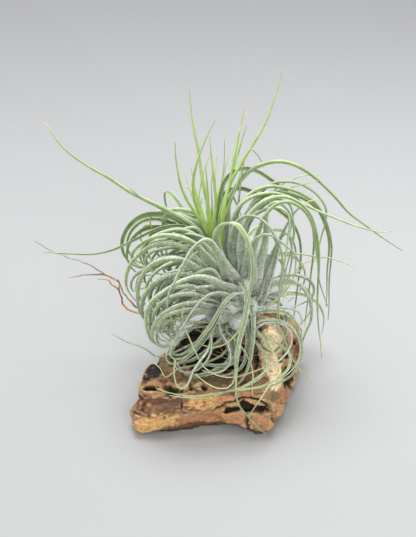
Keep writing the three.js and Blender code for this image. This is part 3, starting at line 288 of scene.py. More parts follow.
# Slender leaves, which the solids leave out too
SLENDER_LEAVES = (
    (0.9, (238, 215, 20), (240, 190, 24), (243, 168, 28), (246.5, 153, 31), (251, 149.5, 32),
      (256, 153, 32.5), (260, 159, 33), (264, 167, 33)),
    (0.8, (246, 235, 20), (256, 213, 24), (268, 197, 27), (281, 185, 30), (292, 179.5, 32),
      (304, 175.5, 33), (319, 175.5, 34)),
    (0.7, (240, 235, 16), (238, 215, 19), (244, 202, 21), (256, 196, 22), (273, 192, 23), (290, 187.5, 24),
      (305, 184, 25), (318, 180.5, 26)),
    (0.25, (262, 318, 2), (274, 322, 0), (282, 333, -2), (287, 346, -4), (292, 358, -6), (300, 370, -9),
      (312, 384, -12)),
    (0.2, (256, 330, -2), (268, 345, -10), (278, 362, -18), (277, 378, -25), (269, 386, -31),
      (262, 397, -36), (255, 407, -38), (249, 416, -39)),
    (0.2, (212, 300, -8), (196, 301, -14), (184, 306, -18), (182, 314, -20), (184, 325, -22),
      (190, 340, -24), (196, 353, -26), (203, 366, -28), (212, 373, -29), (224, 377, -30), (236, 377, -30),
      (250, 373, -28), (263, 368, -26)),
    (0.3, (246, 300, -2), (245, 312, -8), (241, 325, -13), (236, 334, -17), (228, 342, -20),
      (217, 347, -22), (205, 346, -24), (197, 342, -24)),
    (0.7, (250, 262, 14), (280, 253, 14), (300, 254, 14), (318, 257, 13), (330, 258, 13), (342, 262, 12),
      (355, 267.5, 11)),
    (0.15, (226, 330, -8), (240, 345, -14), (250, 362, -20), (253, 376, -26), (252, 386, -30),
      (253, 397, -33)),
    (0.12, (222, 330, -8), (200, 340, -14), (184, 348, -18), (170, 354, -20), (157, 357, -21),
      (147, 350, -21), (139, 346, -21), (127, 342, -20), (111, 333, -19)),
    (0.15, (214, 322, -6), (196, 322, -12), (184, 322, -14), (172, 320, -15), (162, 322, -15),
      (158, 328, -14), (163, 336, -13), (172, 342, -12)),
    (0.15, (210, 326, -6), (192, 328, -10), (178, 331, -12), (164, 330, -13), (153, 331, -13),
      (158, 337, -13), (168, 342, -13)),
    (0.12, (252, 338, -4), (262, 350, -10), (268, 364, -17), (262, 376, -24), (248, 385, -31),
      (226, 392, -36), (205, 397, -38), (186, 397.5, -39), (169, 395.5, -38)),
    (0.1, (230, 345, -8), (222, 355, -14), (208, 362, -19), (192, 366, -23), (178, 369, -26),
      (166, 377, -28), (160, 368, -28), (154, 363, -27)),
    (0.25, (262, 308, 8), (272, 303, 8), (280, 297, 9), (288, 288, 10), (300, 266, 12), (311, 261, 13)),
    (0.12, (252, 334, 0), (264, 338, -4), (280, 345, -8), (290, 356, -12), (288, 369, -18), (277, 379, -24),
      (263, 386, -29), (248, 389, -33), (232, 391, -36), (214, 394, -37), (196, 396, -38), (180, 395, -38),
      (166, 392, -37), (156, 388, -36)),
    (0.3, (240, 300, -2), (243, 316, -10), (241, 333, -18), (238, 350, -26), (236, 366, -31),
      (236, 380, -35), (236, 391, -38), (238, 403, -40), (245, 413, -41), (254, 423, -42), (266, 434, -43)),
)


class Growth(Enum):
    """How a leaf grows: width of its sheath, how far up the sheath reaches, width of its blade, in mm,
    and how late the blade starts to narrow."""

    FAN = (15.5, 36.0, 3.8, 2.6)
    LONG = (7.0, 30.0, 3.1, 1.25)
    LEFT = (9.5, 24.0, 3.5, 2.6)
    INNER = (8.0, 20.0, 3.0, 2.2)
    FRONT = (6.0, 15.0, 3.7, 2.6)
    BAR = (6.0, 40.0, 2.6, 1.3)
    LOOP = (5.5, 13.0, 2.6, 1.8)
    SPIRAL = (7.0, 28.0, 3.2, 2.0)
    LOW = (10.0, 20.0, 3.2, 2.6)
    THIN = (4.6, 18.0, 2.7, 2.2)
    SLENDER = (3.2, 14.0, 1.5, 1.6)
    YOUNG = (5.0, 20.0, 2.4, 1.6)
    SHOOT = (2.6, 20.0, 1.4, 1.4)


class WoodTone(Enum):
    """Patches of the driftwood that weather, fire and rot have marked, and painted shade; the value names
    the mask.
    """

    TAN = "tan"
    PATINA = "patina"
    ORANGE = "orange"
    SPONGY = "spongy"
    RUST_AND_SHADE = "rust_and_shade"
    PALE = "pale"
    DRAB = "drab"
    PAINTED_SHADE = "painted_shade"
    BURNT = "burnt"


# Patches of the wood: middle across and down in picture units, half width, half height, degrees turned
WOOD_PATCHES = {
    WoodTone.TAN: (
        (206, 418, 34, 8, -6), (226, 399, 14, 5, -4), (246, 396, 12, 4, -6), (240, 419, 12, 6, 0),
        (261, 423, 11, 8, 0), (280, 395, 8, 12, 10),
    ),
    WoodTone.PATINA: (
        (166, 403, 16, 10, 0), (146, 403, 9, 12, 0), (262, 410, 9, 6, 10),
    ),
    WoodTone.ORANGE: (
        (279, 411, 7, 9, 0), (298, 385, 4, 14, 25), (159, 360, 6, 5, 0),
    ),
    WoodTone.SPONGY: (
        (203, 402, 23, 8, -3), (156, 422, 27, 8, -8), (141, 426, 11, 9, 0), (186, 385, 9, 4, 0),
    ),
    # Rust-brown tone; the long patch low on the front is painted shade on the undercut lower face
    WoodTone.RUST_AND_SHADE: (
        (156, 383, 17, 6, 0), (143, 400, 7, 10, 0), (186, 428.5, 31, 5.5, -10), (248, 419, 4, 9, 0),
        (294, 352, 9, 18, 10), (142, 374, 3, 8, 0),
    ),
    WoodTone.PALE: (
        (271, 349, 13, 30, 4), (276, 380, 8, 14, 0), (199, 385, 3.5, 5, 0),
    ),
    WoodTone.DRAB: (
        (164, 364, 12, 10, 0), (270, 397, 12, 7, -10), (257, 368, 6, 20, 0), (291, 366, 8, 20, 8),
        (205, 378, 40, 7, 0),
    ),
    # Painted shade: darkened where shadow falls under the plant and along the lower front edge
    WoodTone.PAINTED_SHADE: (
        (206, 348, 44, 24, 0), (241, 358, 14, 16, 0), (252, 334, 8, 14, 0), (191, 328, 26, 22, -35),
        (205, 429.5, 42, 3.4, -5), (168, 432, 14, 2.8, -4), (289, 377, 5, 8, 10),
    ),
    WoodTone.BURNT: (
        (152, 370, 11, 9, -25), (146, 378, 5.5, 5, 0),
    ),
}

# Hollows of the wood: the same measures, then the depth in mm. They and the cracks get painted shade.
WOOD_PITS = (
    (172, 390.5, 14, 6.5, 6, 6.5), (151, 388, 10, 2.6, -2, 4), (192, 387, 4, 4.4, 0, 3.5),
    (204, 386.5, 4.5, 4.4, 0, 3.5), (163, 418.5, 6, 2, -25, 3), (231, 410, 9, 3.4, -9, 4),
    (247, 406, 10, 6, 10, 4.5), (260, 409, 12, 4.5, 12, 3.5), (267, 407, 3, 4, 0, 2),
    (256, 360, 3.8, 11, 0, 4), (242.5, 361, 5, 12, 0, 4), (215, 361, 36, 18, 0, 4),
    (198, 339, 34, 13, 0, 3.5), (143, 410.5, 2.6, 2.6, 0, 2), (148.6, 417.3, 1.8, 1.8, 0, 2),
    (196, 413, 1.8, 1.2, 0, 1.5), (213.5, 409, 2.2, 1.6, 0, 1.5), (212, 417, 1.8, 1.2, 0, 1),
    (271, 371.5, 2.4, 1.2, 0, 1.5), (287, 355, 5, 5, 0, 4), (291, 372, 8, 8, 20, 5),
    (290, 385, 6, 6, 10, 4), (144, 405, 3, 6, 20, 1.5), (295, 343, 4, 4, 0, 3),
    (298, 361, 3.5, 6, 15, 3.5), (280, 360, 3, 5, 0, 2.5),
)

# Cracks of the wood: depth and half width in mm and picture units, then places along them
WOOD_CRACKS = (
    (2.2, 1.2, (215, 408.6), (225, 404), (237, 401.4)),
    (3.0, 1.3, (236, 401), (243, 398), (250, 397.5), (258, 399.5), (266, 404), (270, 409)),
    (1.5, 1.0, (270.5, 405), (272, 413), (273.5, 421)),
    (1.6, 1.0, (143, 389), (158, 389.5), (172, 392), (184, 391), (196, 387), (206, 386)),
    (1.4, 1.1, (133, 412), (143, 416), (152, 418), (160, 415.5), (168, 412), (181, 411.5), (188, 414)),
    (1.2, 0.9, (188, 414), (196, 411.5), (206, 411), (215, 410)),
    (1.6, 1.0, (181.5, 396), (182, 404), (181, 412)),
    (2.4, 1.2, (244, 409), (246, 415), (246.5, 421), (248, 429)),
)


def draw(k: Array | float, j: Array | float) -> Array:
    """A repeatable number from 0 to 1: the fraction of a large sine of k and j.

    Args:
        k: Number of the leaf or root.
        j: Number of the purpose.

    Returns:
        The drawn number or numbers.
    """
    value = np.sin(np.asarray(k) * 12.9898 + np.asarray(j) * 78.233) * 43758.5453
    return value - np.floor(value)


def smooth(t: Array | float) -> Array:
    """A soft step: 3t^2 - 2t^3 of t held between 0 and 1."""
    c = np.clip(t, 0.0, 1.0)
    return c * c * (3.0 - 2.0 * c)


def lerp(a: Array | float, b: Array | float, t: Array | float) -> Array:
    """The value a share t of the way from a to b."""
    return a + (b - a) * t


def unit(v: Array) -> Array:
    """The vectors scaled to length one along their last axis."""
    return v / np.maximum(np.linalg.norm(v, axis=-1, keepdims=True), 1e-9)


def paint(red: float, green: float, blue: float) -> Colour:
    """A screen colour as the linear colour that shaders read, by the usual curve of screens.

    Args:
        red: Its red from 0 to 255.
        green: Its green.
        blue: Its blue.

    Returns:
        The linear red, green, blue and a full alpha.
    """
    c = np.array([red, green, blue]) / 255.0
    low = c / 12.92
    high = ((c + 0.055) / 1.055) ** 2.4
    r, g, b = (float(v) for v in np.where(c <= 0.04045, low, high))
    return (r, g, b, 1.0)


def evenly_along(points: Array, steps: int, closed: bool = False) -> Array:
    """Even steps along the centripetal Catmull-Rom curve through the given points.

    Each span is a cubic whose end slopes come from its neighbours, weighted by the fourth root of
    the squared distances. The curve is measured at 200 places and cut into equal lengths.

    Args:
        points: The points, one a row.
        steps: Number of steps.
        closed: Whether the curve returns to its start.

    Returns:
        steps + 1 points, or steps points on a closed curve.
    """
    if closed:
        p0, p1 = np.roll(points, 1, 0), points
        p2, p3 = np.roll(points, -1, 0), np.roll(points, -2, 0)
    else:
        q = np.vstack([2 * points[0] - points[1], points, 2 * points[-1] - points[-2]])
        p0, p1, p2, p3 = q[:-3], q[1:-2], q[2:-1], q[3:]
    gap = [np.maximum(((b - a) ** 2).sum(1, keepdims=True), 1e-12) ** 0.25
           for a, b in ((p0, p1), (p1, p2), (p2, p3))]
    t1 = ((p1 - p0) / gap[0] - (p2 - p0) / (gap[0] + gap[1]) + (p2 - p1) / gap[1]) * gap[1]
    t2 = ((p2 - p1) / gap[1] - (p3 - p1) / (gap[1] + gap[2]) + (p3 - p2) / gap[2]) * gap[1]
    square, cube = -3 * p1 + 3 * p2 - 2 * t1 - t2, 2 * p1 - 2 * p2 + t1 + t2

    def at(t: Array) -> Array:
        """The curve's points.

        Args:
            t: Shares of the way, each span taken as equally long.

        Returns:
            One point a share.
        """
        place = t * len(p1)
        i = np.minimum(place.astype(int), len(p1) - 1)
        w = (place - i)[:, None]
        return p1[i] + w * (t1[i] + w * (square[i] + w * cube[i]))

    share = np.linspace(0, 1, 201)
    dense = at(share)
    length = np.concatenate([[0], np.cumsum(np.linalg.norm(np.diff(dense, axis=0), axis=1))])
    wanted = np.linspace(0, length[-1], steps + 1)
    spaced = at(np.interp(wanted, length, share))
    return spaced[:-1] if closed else spaced


def lattice_value(cell: Array, seed: int) -> Array:
    """A repeatable number from 0 to 1 for each whole-number cell: its coordinates mixed by hashing.

    Args:
        cell: Whole coordinates, one cell a row.
        seed: Number of the pattern.

    Returns:
        One value a cell.
    """
    c = cell.astype(np.int64)
    h = (c[..., 0] * 374761393 + c[..., 1] * 668265263 + c[..., 2] * 2147483647 + seed * 144665) & 0xFFFFFFFF
    h = ((h ^ (h >> 13)) * 1274126177) & 0xFFFFFFFF
    return ((h ^ (h >> 16)) & 0xFFFFFF) / float(0xFFFFFF)


def soft_noise(p: Array, seed: int = 0) -> Array:
    """Value noise from -1 to 1: the eight corner values of a point's cell, blended with soft steps.

    Args:
        p: Points in cells, one a row.
        seed: Number of the pattern.

    Returns:
        One value a point.
    """
    base = np.floor(p)
    w = smooth(p - base)
    total = np.zeros(p.shape[:-1])
    for corner in np.ndindex(2, 2, 2):
        share = np.prod(np.where(corner, w, 1 - w), axis=-1)
        total += share * lattice_value(base + corner, seed)
    return 2 * total - 1


def rough_noise(p: Array, octaves: int = 4, seed: int = 0) -> Array:
    """Several layers of soft noise, each twice as fine and half as strong as the one before.

    Args:
        p: Points in cells, one a row.
        octaves: Number of layers.
        seed: Number of the pattern.

    Returns:
        One value a point.
    """
    total = np.zeros(p.shape[:-1])
    for i in range(octaves):
        total += soft_noise(p * 2.0**i + 17.3 * i, seed + i) * 0.5**i
    return total


def pit_noise(p: Array, seed: int = 0) -> Array:
    """Distance from each point to the nearest of the spots, of which each cell holds one.

    Args:
        p: Points in cells, one a row.
        seed: Number of the pattern.

    Returns:
        One distance a point, in cells.
    """
    base = np.floor(p)
    best = np.full(p.shape[:-1], 9.0)
    for near in np.ndindex(3, 3, 3):
        cell = base + near - 1.0
        spot = cell + np.stack([lattice_value(cell, seed + i) for i in range(3)], axis=-1)
        best = np.minimum(best, ((spot - p) ** 2).sum(-1))
    return np.sqrt(best)


def tube_faces(tubes: int, rings: int, sides: int) -> Array:
    """Triangles of closed tubes: a strip between neighbouring rings and a fan at each end.

    The points of a tube are its rings one after another, then its first and last middle point.

    Args:
        tubes: Number of tubes.
        rings: Rings of each tube.
        sides: Points of each ring.

    Returns:
        Corner numbers, three a row.
    """
    i, j = np.meshgrid(np.arange(rings - 1), np.arange(sides), indexing="ij")
    a = (i * sides + j).ravel()
    b = (i * sides + (j + 1) % sides).ravel()
    strip = np.concatenate([np.stack([a, b, b + sides], 1), np.stack([a, b + sides, a + sides], 1)])
    k = np.arange(sides)
    after = (k + 1) % sides
    end = (rings - 1) * sides
    first, last = np.full(sides, rings * sides), np.full(sides, rings * sides + 1)
    ends = np.concatenate([np.stack([first, after, k], 1), np.stack([last, end + k, end + after], 1)])
    one = np.concatenate([strip, ends])
    shift = np.arange(tubes) * (rings * sides + 2)
    return (one[None] + shift[:, None, None]).reshape(-1, 3)


def with_middles(grid: Array) -> Array:
    """Values on the rings of tubes, with the middle points that close their ends.

    Args:
        grid: Tubes by rings by sides, by coordinates if there are any.

    Returns:
        For each tube its rings' values in one row, then the means of its first and its last ring.
    """
    tubes, rings, sides = grid.shape[:3]
    flat = grid.reshape(tubes, rings * sides, -1)
    first = grid[:, 0].reshape(tubes, sides, -1).mean(1, keepdims=True)
    last = grid[:, -1].reshape(tubes, sides, -1).mean(1, keepdims=True)
    return np.concatenate([flat, first, last], axis=1)


def facing_out(points: Array, faces: Array) -> Array:
    """The faces turned, if need be, so that the volume they enclose is positive.

    Args:
        points: The corners.
        faces: Corner numbers, three a row.

    Returns:
        The faces.
    """
    a, b, c = (points[faces[:, i]] for i in range(3))
    volume = np.einsum("ij,ij->i", a, np.cross(b, c)).sum()
    return faces if volume > 0 else faces[:, ::-1]


def joined(parts: list[tuple[Array, Array, dict[str, Array]]]) -> tuple[Array, Array, dict[str, Array]]:
    """Several sets of points, faces and values as one set, each with its faces turned outwards.

    Args:
        parts: The sets.

    Returns:
        The points, faces and values of all.
    """
    starts = np.cumsum([0] + [len(points) for points, _, _ in parts])
    points = np.vstack([points for points, _, _ in parts])
    faces = np.vstack([facing_out(p, faces) + start for (p, faces, _), start in zip(parts, starts)])
    values = {key: np.concatenate([values[key] for _, _, values in parts]) for key in parts[0][2]}
    return points, faces, values


def ball_grid(rows: int, around: int, pole: float) -> Array:
    """A unit ball as rings at even angles from near one pole to near the other.

    Args:
        rows: Number of rings.
        around: Points of each ring.
        pole: Angle between a pole and the ring next to it.

    Returns:
        Rings by points by coordinates.
    """
    tilt, turn = np.meshgrid(np.linspace(pole, math.pi - pole, rows),
                             np.linspace(0, 2 * math.pi, around, False), indexing="ij")
    return np.stack([np.sin(tilt) * np.cos(turn), np.sin(tilt) * np.sin(turn), np.cos(tilt)], axis=-1)


def make_piece(
    name: str,
    points: Array,
    faces: Array,
    material: bpy.types.Material,
    values: dict[str, Array],
    node: str,
) -> bpy.types.Object:
    """Makes a smooth mesh piece that rides on the root and stands for a node of the frame.

    Args:
        name: Name of the piece.
        points: Corners in millimetres.
        faces: Corner numbers, three a row.
        material: Its material.
        values: Values of each corner that the material reads, by name.
        node: The node it replaces.

    Returns:
        The new object.
    """
    mesh = bpy.data.meshes.new(name)
    turned = facing_out(points, faces).astype(np.int32)
    mesh.vertices.add(len(points))
    mesh.vertices.foreach_set("co", (points * MM).astype(np.float32).ravel())
    mesh.loops.add(turned.size)
    mesh.loops.foreach_set("vertex_index", turned.ravel())
    mesh.polygons.add(len(turned))
    mesh.polygons.foreach_set("loop_start", np.arange(len(turned), dtype=np.int32) * 3)
    mesh.polygons.foreach_set("use_smooth", np.ones(len(turned), dtype=bool))
    mesh.update(calc_edges=True)
    mesh.validate()
    for key, value in values.items():
        layer = mesh.attributes.new(key, "FLOAT", "POINT")
        layer.data.foreach_set("value", np.asarray(value, dtype=np.float32).ravel())
    mesh.materials.append(material)
    piece = bpy.data.objects.new(name, mesh)
    bpy.context.scene.collection.objects.link(piece)
    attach(piece, "root")
    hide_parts(node)
    LOG.info("%s: %d triangles", name, len(turned))
    return piece


@dataclass(frozen=True)
class Sight:
    """The line of sight that the leaf ways are given along, which is also the camera's."""

    target: tuple[float, float, float] = (-5.0, 8.0, 75.0)
    elevation: float = math.radians(38)
    distance: float = 700.0
    middle: tuple[float, float] = (208.0, 268.5)
    clips: tuple[float, float] = (0.05, 20.0)

    def eye(self) -> Array:
        """The point that the picture is seen from."""
        back = np.array([0.0, -math.cos(self.elevation), math.sin(self.elevation)])
        return np.array(self.target) + self.distance * back

    def points(self, across: Array, down: Array, back: Array) -> Array:
        """The points where the sight lines through picture points reach the depth back.

        Args:
            across: Picture units from the left edge.
            down: Picture units from the top edge.
            back: The Y that each point has.

        Returns:
            One point a row.
        """
        sin, cos = math.sin(self.elevation), math.cos(self.elevation)
        right = (across - self.middle[0]) / 2
        up = (self.middle[1] - down) / 2
        eye = self.eye()
        seen = np.stack([right, up * sin, up * cos], axis=-1) + np.array(self.target)
        share = (back - eye[1]) / (seen[..., 1] - eye[1])
        return eye + (seen - eye) * share[..., None]

    def seen(self, p: Array) -> Array:
        """Where points appear in the picture.

        Args:
            p: Points in mm, one a row.

        Returns:
            Across and down of each.
        """
        sin, cos = math.sin(self.elevation), math.cos(self.elevation)
        off = p - self.eye()
        depth = off[..., 1] * cos - off[..., 2] * sin
        rise = off[..., 1] * sin + off[..., 2] * cos
        across = self.middle[0] + 2 * self.distance * off[..., 0] / depth
        down = self.middle[1] - 2 * self.distance * rise / depth
        return np.stack([across, down], axis=-1)

    def place_camera(self) -> None:
        """Sets the camera at the eye, aimed at the target. Its two clip distances are in metres."""
        camera = bpy.data.cameras.new("camera")
        camera.sensor_fit = "VERTICAL"
        camera.sensor_height = 36.0
        camera.lens = camera.sensor_height * self.distance / self.middle[1]
        camera.clip_start, camera.clip_end = self.clips
        holder = bpy.data.objects.new("camera", camera)
        holder.location = (self.eye() * MM).tolist()
        holder.rotation_euler = (math.pi / 2 - self.elevation, 0.0, 0.0)
        bpy.context.scene.collection.objects.link(holder)
        bpy.context.scene.camera = holder


SIGHT = Sight()


class Wiring:
    """Adds nodes to one node tree and joins them."""

    def __init__(self, tree: bpy.types.NodeTree) -> None:
        """Keeps the tree that the nodes go into."""
        self.tree = tree

    def add(self, kind: str, inputs: dict | None = None, **settings: object) -> bpy.types.Node:
        """Adds a node.

        Args:
            kind: The node's type name.
            inputs: Values or sockets for its inputs, by name or number.
            **settings: Its own properties.

        Returns:
            The node.
        """
        node = self.tree.nodes.new(kind)
        for key, value in settings.items():
            setattr(node, key, value)
        for key, value in (inputs or {}).items():
            if isinstance(value, bpy.types.NodeSocket):
                self.tree.links.new(value, node.inputs[key])
            else:
                node.inputs[key].default_value = value
        return node

    def place(self) -> bpy.types.NodeSocket:
        """The point of the object that is being shaded."""
        return self.add("ShaderNodeTexCoord").outputs["Object"]

    def value(self, name: str) -> bpy.types.NodeSocket:
        """A value that the mesh carries under this name."""
        return self.add("ShaderNodeAttribute", attribute_name=name).outputs["Fac"]

    def maths(self, operation: str, a: object, b: object = 0.0, c: object = 0.0) -> bpy.types.NodeSocket:
        """One arithmetic step on up to three values, held to no range."""
        return self.add("ShaderNodeMath", {0: a, 1: b, 2: c}, operation=operation).outputs[0]

    def stretch(self, value: object, low: float, high: float, start: float = 0.0,
                end: float = 1.0) -> bpy.types.NodeSocket:
        """The value moved softly from the range low to high into the range start to end."""
        inputs = {"Value": value, "From Min": low, "From Max": high, "To Min": start, "To Max": end}
        return self.add("ShaderNodeMapRange", inputs, interpolation_type="SMOOTHSTEP").outputs["Result"]

    def mix(self, share: object, a: object, b: object, blend: str = "MIX") -> bpy.types.NodeSocket:
        """The two colours mixed by the share, in the given way."""
        node = self.add("ShaderNodeMix", {0: share, 6: a, 7: b}, data_type="RGBA", blend_type=blend)
        return node.outputs[2]

    def shaded(self, colour: object, value: object) -> bpy.types.NodeSocket:
        """The colour with its brightness multiplied by the value."""
        return self.add("ShaderNodeHueSaturation", {"Color": colour, "Value": value}).outputs[0]

    def bump(self, shader: bpy.types.Node, height: object, strength: float, distance: float) -> None:
        """Lets the height bend the shader's normal, by the strength and over the distance in metres."""
        inputs = {"Strength": strength, "Distance": distance, "Height": height}
        self.tree.links.new(self.add("ShaderNodeBump", inputs).outputs[0], shader.inputs["Normal"])

    def noise(self, vector: object, scale: float, detail: float = 3.0,
              roughness: float = 0.55) -> bpy.types.NodeSocket:
        """Soft noise around a half."""
        inputs = {"Vector": vector, "Scale": scale, "Detail": detail, "Roughness": roughness}
        return self.add("ShaderNodeTexNoise", inputs).outputs["Fac"]


def new_group(name: str, inputs: dict[str, tuple[str, object]],
              outputs: dict[str, str]) -> tuple[bpy.types.NodeTree, Wiring]:
    """Starts a shader node group.

    Args:
        name: Its name.
        inputs: Socket type and first value of each input, by name.
        outputs: Socket type of each output, by name.

    Returns:
        The group and the wiring in it.
    """
    group = bpy.data.node_groups.new(name, "ShaderNodeTree")
    for key, (kind, first) in inputs.items():
        socket = group.interface.new_socket(key, in_out="INPUT", socket_type=kind)
        if first is not None:
            socket.default_value = first
    for key, kind in outputs.items():
        group.interface.new_socket(key, in_out="OUTPUT", socket_type=kind)
    return group, Wiring(group)


def down_group() -> bpy.types.NodeTree:
    """The group for the down of tiny scales on leaves: where it is pale, and how it stands up.

    Fine noise near one size makes the grain, and wider noise wears it thin in places.

    Returns:
        The group, with the outputs Pale and Height.
    """
    group, wire = new_group(
        "leaf_down",
        {"Vector": ("NodeSocketVector", None), "Density": ("NodeSocketFloat", 0.5)},
        {"Pale": "NodeSocketFloat", "Height": "NodeSocketFloat"},
    )
    given = wire.add("NodeGroupInput").outputs
    grain, wear = 1250.0, 260.0
    fine = wire.noise(given["Vector"], grain, 2.0, 0.7)
    wide = wire.noise(given["Vector"], wear, 3.0, 0.6)
    worn = wire.maths("MULTIPLY_ADD", wide, 0.3, -0.15)
    lifted = wire.maths("MULTIPLY_ADD", given["Density"], 0.07, wire.maths("ADD", fine, worn))
    pale = wire.stretch(lifted, 0.5, 0.64)
    wire.add("NodeGroupOutput", {"Pale": pale, "Height": fine})
    return group


def weather_group() -> bpy.types.NodeTree:
    """The group for dead wood and dry roots: long fibres, patches of tone and fine roughness.

    Fibres are noise squeezed across the grain. Patches are wide noise, and the relief adds the fibres to
    fine grit.

    Returns:
        The group, with the outputs Fibre, Patch and Height.
    """
    group, wire = new_group(
        "weathering",
        {"Vector": ("NodeSocketVector", None), "Scale": ("NodeSocketFloat", 1.0)},
        {"Fibre": "NodeSocketFloat", "Patch": "NodeSocketFloat", "Height": "NodeSocketFloat"},
    )
    given = wire.add("NodeGroupInput").outputs
    inputs = {0: given["Vector"], "Scale": given["Scale"]}
    scaled = wire.add("ShaderNodeVectorMath", inputs, operation="SCALE").outputs[0]
    grain_turn, squeeze = (0.0, 0.12, 0.3), (0.16, 1.0, 1.0)
    bent = wire.add("ShaderNodeMapping", {"Vector": scaled, "Rotation": grain_turn, "Scale": squeeze})
    fibre = wire.noise(bent.outputs[0], 900.0, 4.0, 0.65)
    patch = wire.noise(scaled, 110.0, 5.0, 0.62)
    grit = wire.noise(scaled, 1300.0, 3.0, 0.7)
    height = wire.maths("ADD", wire.maths("MULTIPLY", fibre, 0.6), wire.maths("MULTIPLY", grit, 0.5))
    wire.add("NodeGroupOutput", {"Fibre": fibre, "Patch": patch, "Height": height})
    return group


def new_material(name: str) -> tuple[bpy.types.Material, Wiring, bpy.types.Node]:
    """Starts a material.

    Args:
        name: Its name.

    Returns:
        The material, its wiring and its Principled shader.
    """
    material = bpy.data.materials.new(name)
    material.use_nodes = True
    wire = Wiring(material.node_tree)
    shader = material.node_tree.nodes["Principled BSDF"]
    return material, wire, shader


def set_up(shader: bpy.types.Node, values: dict[str, object]) -> None:
    """Sets inputs of a shader, by name, to values that are the same all over the surface."""
    for key, value in values.items():
        shader.inputs[key].default_value = value


@dataclass(frozen=True)
class LeafFinish:
    """Colours and sheen of a leaf: silver down at the sheath, greener and balder towards the tip.

    The glow is light that passes through the leaf, over its depth in metres.
    """

    name: str
    down: Colour
    sheath: Colour
    blade: Colour
    green: Colour
    # Deep green down the blade's groove, and painted shade in the gaps at the sheath feet and at each leaf's
    # foot
    channel_and_shade: Colour
    tip: Colour
    cover: float
    sheen: float
    roughness: float
    sheen_tint: Colour = (0.9, 0.95, 0.85, 1.0)
    glow: float = 0.12
    glow_depth: float = 0.002
    glow_colour: tuple[float, float, float] = (0.8, 1.0, 0.4)

    def material(self, down: bpy.types.NodeTree) -> bpy.types.Material:
        """Builds the material.

        The colour runs from sheath to blade, greener on young leaves, darker down the blade's groove, paler
        along the rims and dry at the tip. The same deep green is painted shade in the gaps between the
        sheath feet and the core and at each leaf's foot. The down lies over it, thickest on the sheath, and
        thinner in the groove, in the painted shaded gaps and on young leaves.

        Args:
            down: The group for the down.

        Returns:
            The material.
        """
        material, wire, shader = new_material(self.name)
        place = wire.place()
        silver, green, rim = wire.value("silver"), wire.value("green"), wire.value("rim")
        channel_and_shade, tint, dry = wire.value("channel_and_shade"), wire.value("tint"), wire.value("dry")
        body = wire.mix(green, self.blade, self.green)
        body = wire.mix(wire.maths("MULTIPLY", silver, 0.9), body, self.sheath)
        streak = wire.stretch(wire.noise(place, 190.0, 3.0), 0.3, 0.7, 0.86, 1.12)
        value = wire.maths("MULTIPLY", streak, wire.maths("MULTIPLY_ADD", tint, 0.3, 0.84))
        deep = wire.maths("MULTIPLY", channel_and_shade, wire.maths("MULTIPLY_ADD", green, -0.35, 0.8))
        # Darker down the groove, and painted shade in the gaps
        body = wire.mix(deep, body, self.channel_and_shade)
        body = wire.mix(wire.maths("MULTIPLY", rim, 0.42), body, self.down)
        body = wire.mix(dry, body, self.tip)
        density = wire.maths("MULTIPLY_ADD", silver, 0.9, wire.maths("MULTIPLY", rim, 0.55))
        fuzz = wire.add("ShaderNodeGroup", {"Vector": place, "Density": density}, node_tree=down).outputs
        worn = wire.maths("MULTIPLY_ADD", channel_and_shade, -0.6, 1.0)
        young = wire.maths("MULTIPLY_ADD", green, -0.7, 1.0)
        thick = wire.maths("MULTIPLY", wire.maths("MULTIPLY_ADD", density, 0.76, 0.24), self.cover)
        cover = wire.maths("MULTIPLY", wire.maths("MULTIPLY", thick, worn), young)
        cover = wire.maths("MULTIPLY", cover, fuzz["Pale"])
        colour = wire.mix(cover, wire.shaded(body, value), self.down)
        wire.tree.links.new(colour, shader.inputs["Base Color"])
        wire.bump(shader, fuzz["Height"], 0.35, 0.0003)
        set_up(shader, {
            "Roughness": self.roughness,
            "Subsurface Weight": self.glow,
            "Subsurface Scale": self.glow_depth,
            "Subsurface Radius": self.glow_colour,
            "Sheen Weight": self.sheen,
            "Sheen Roughness": 0.45,
            "Sheen Tint": self.sheen_tint,
            "Specular IOR Level": 0.35,
        })
        return material


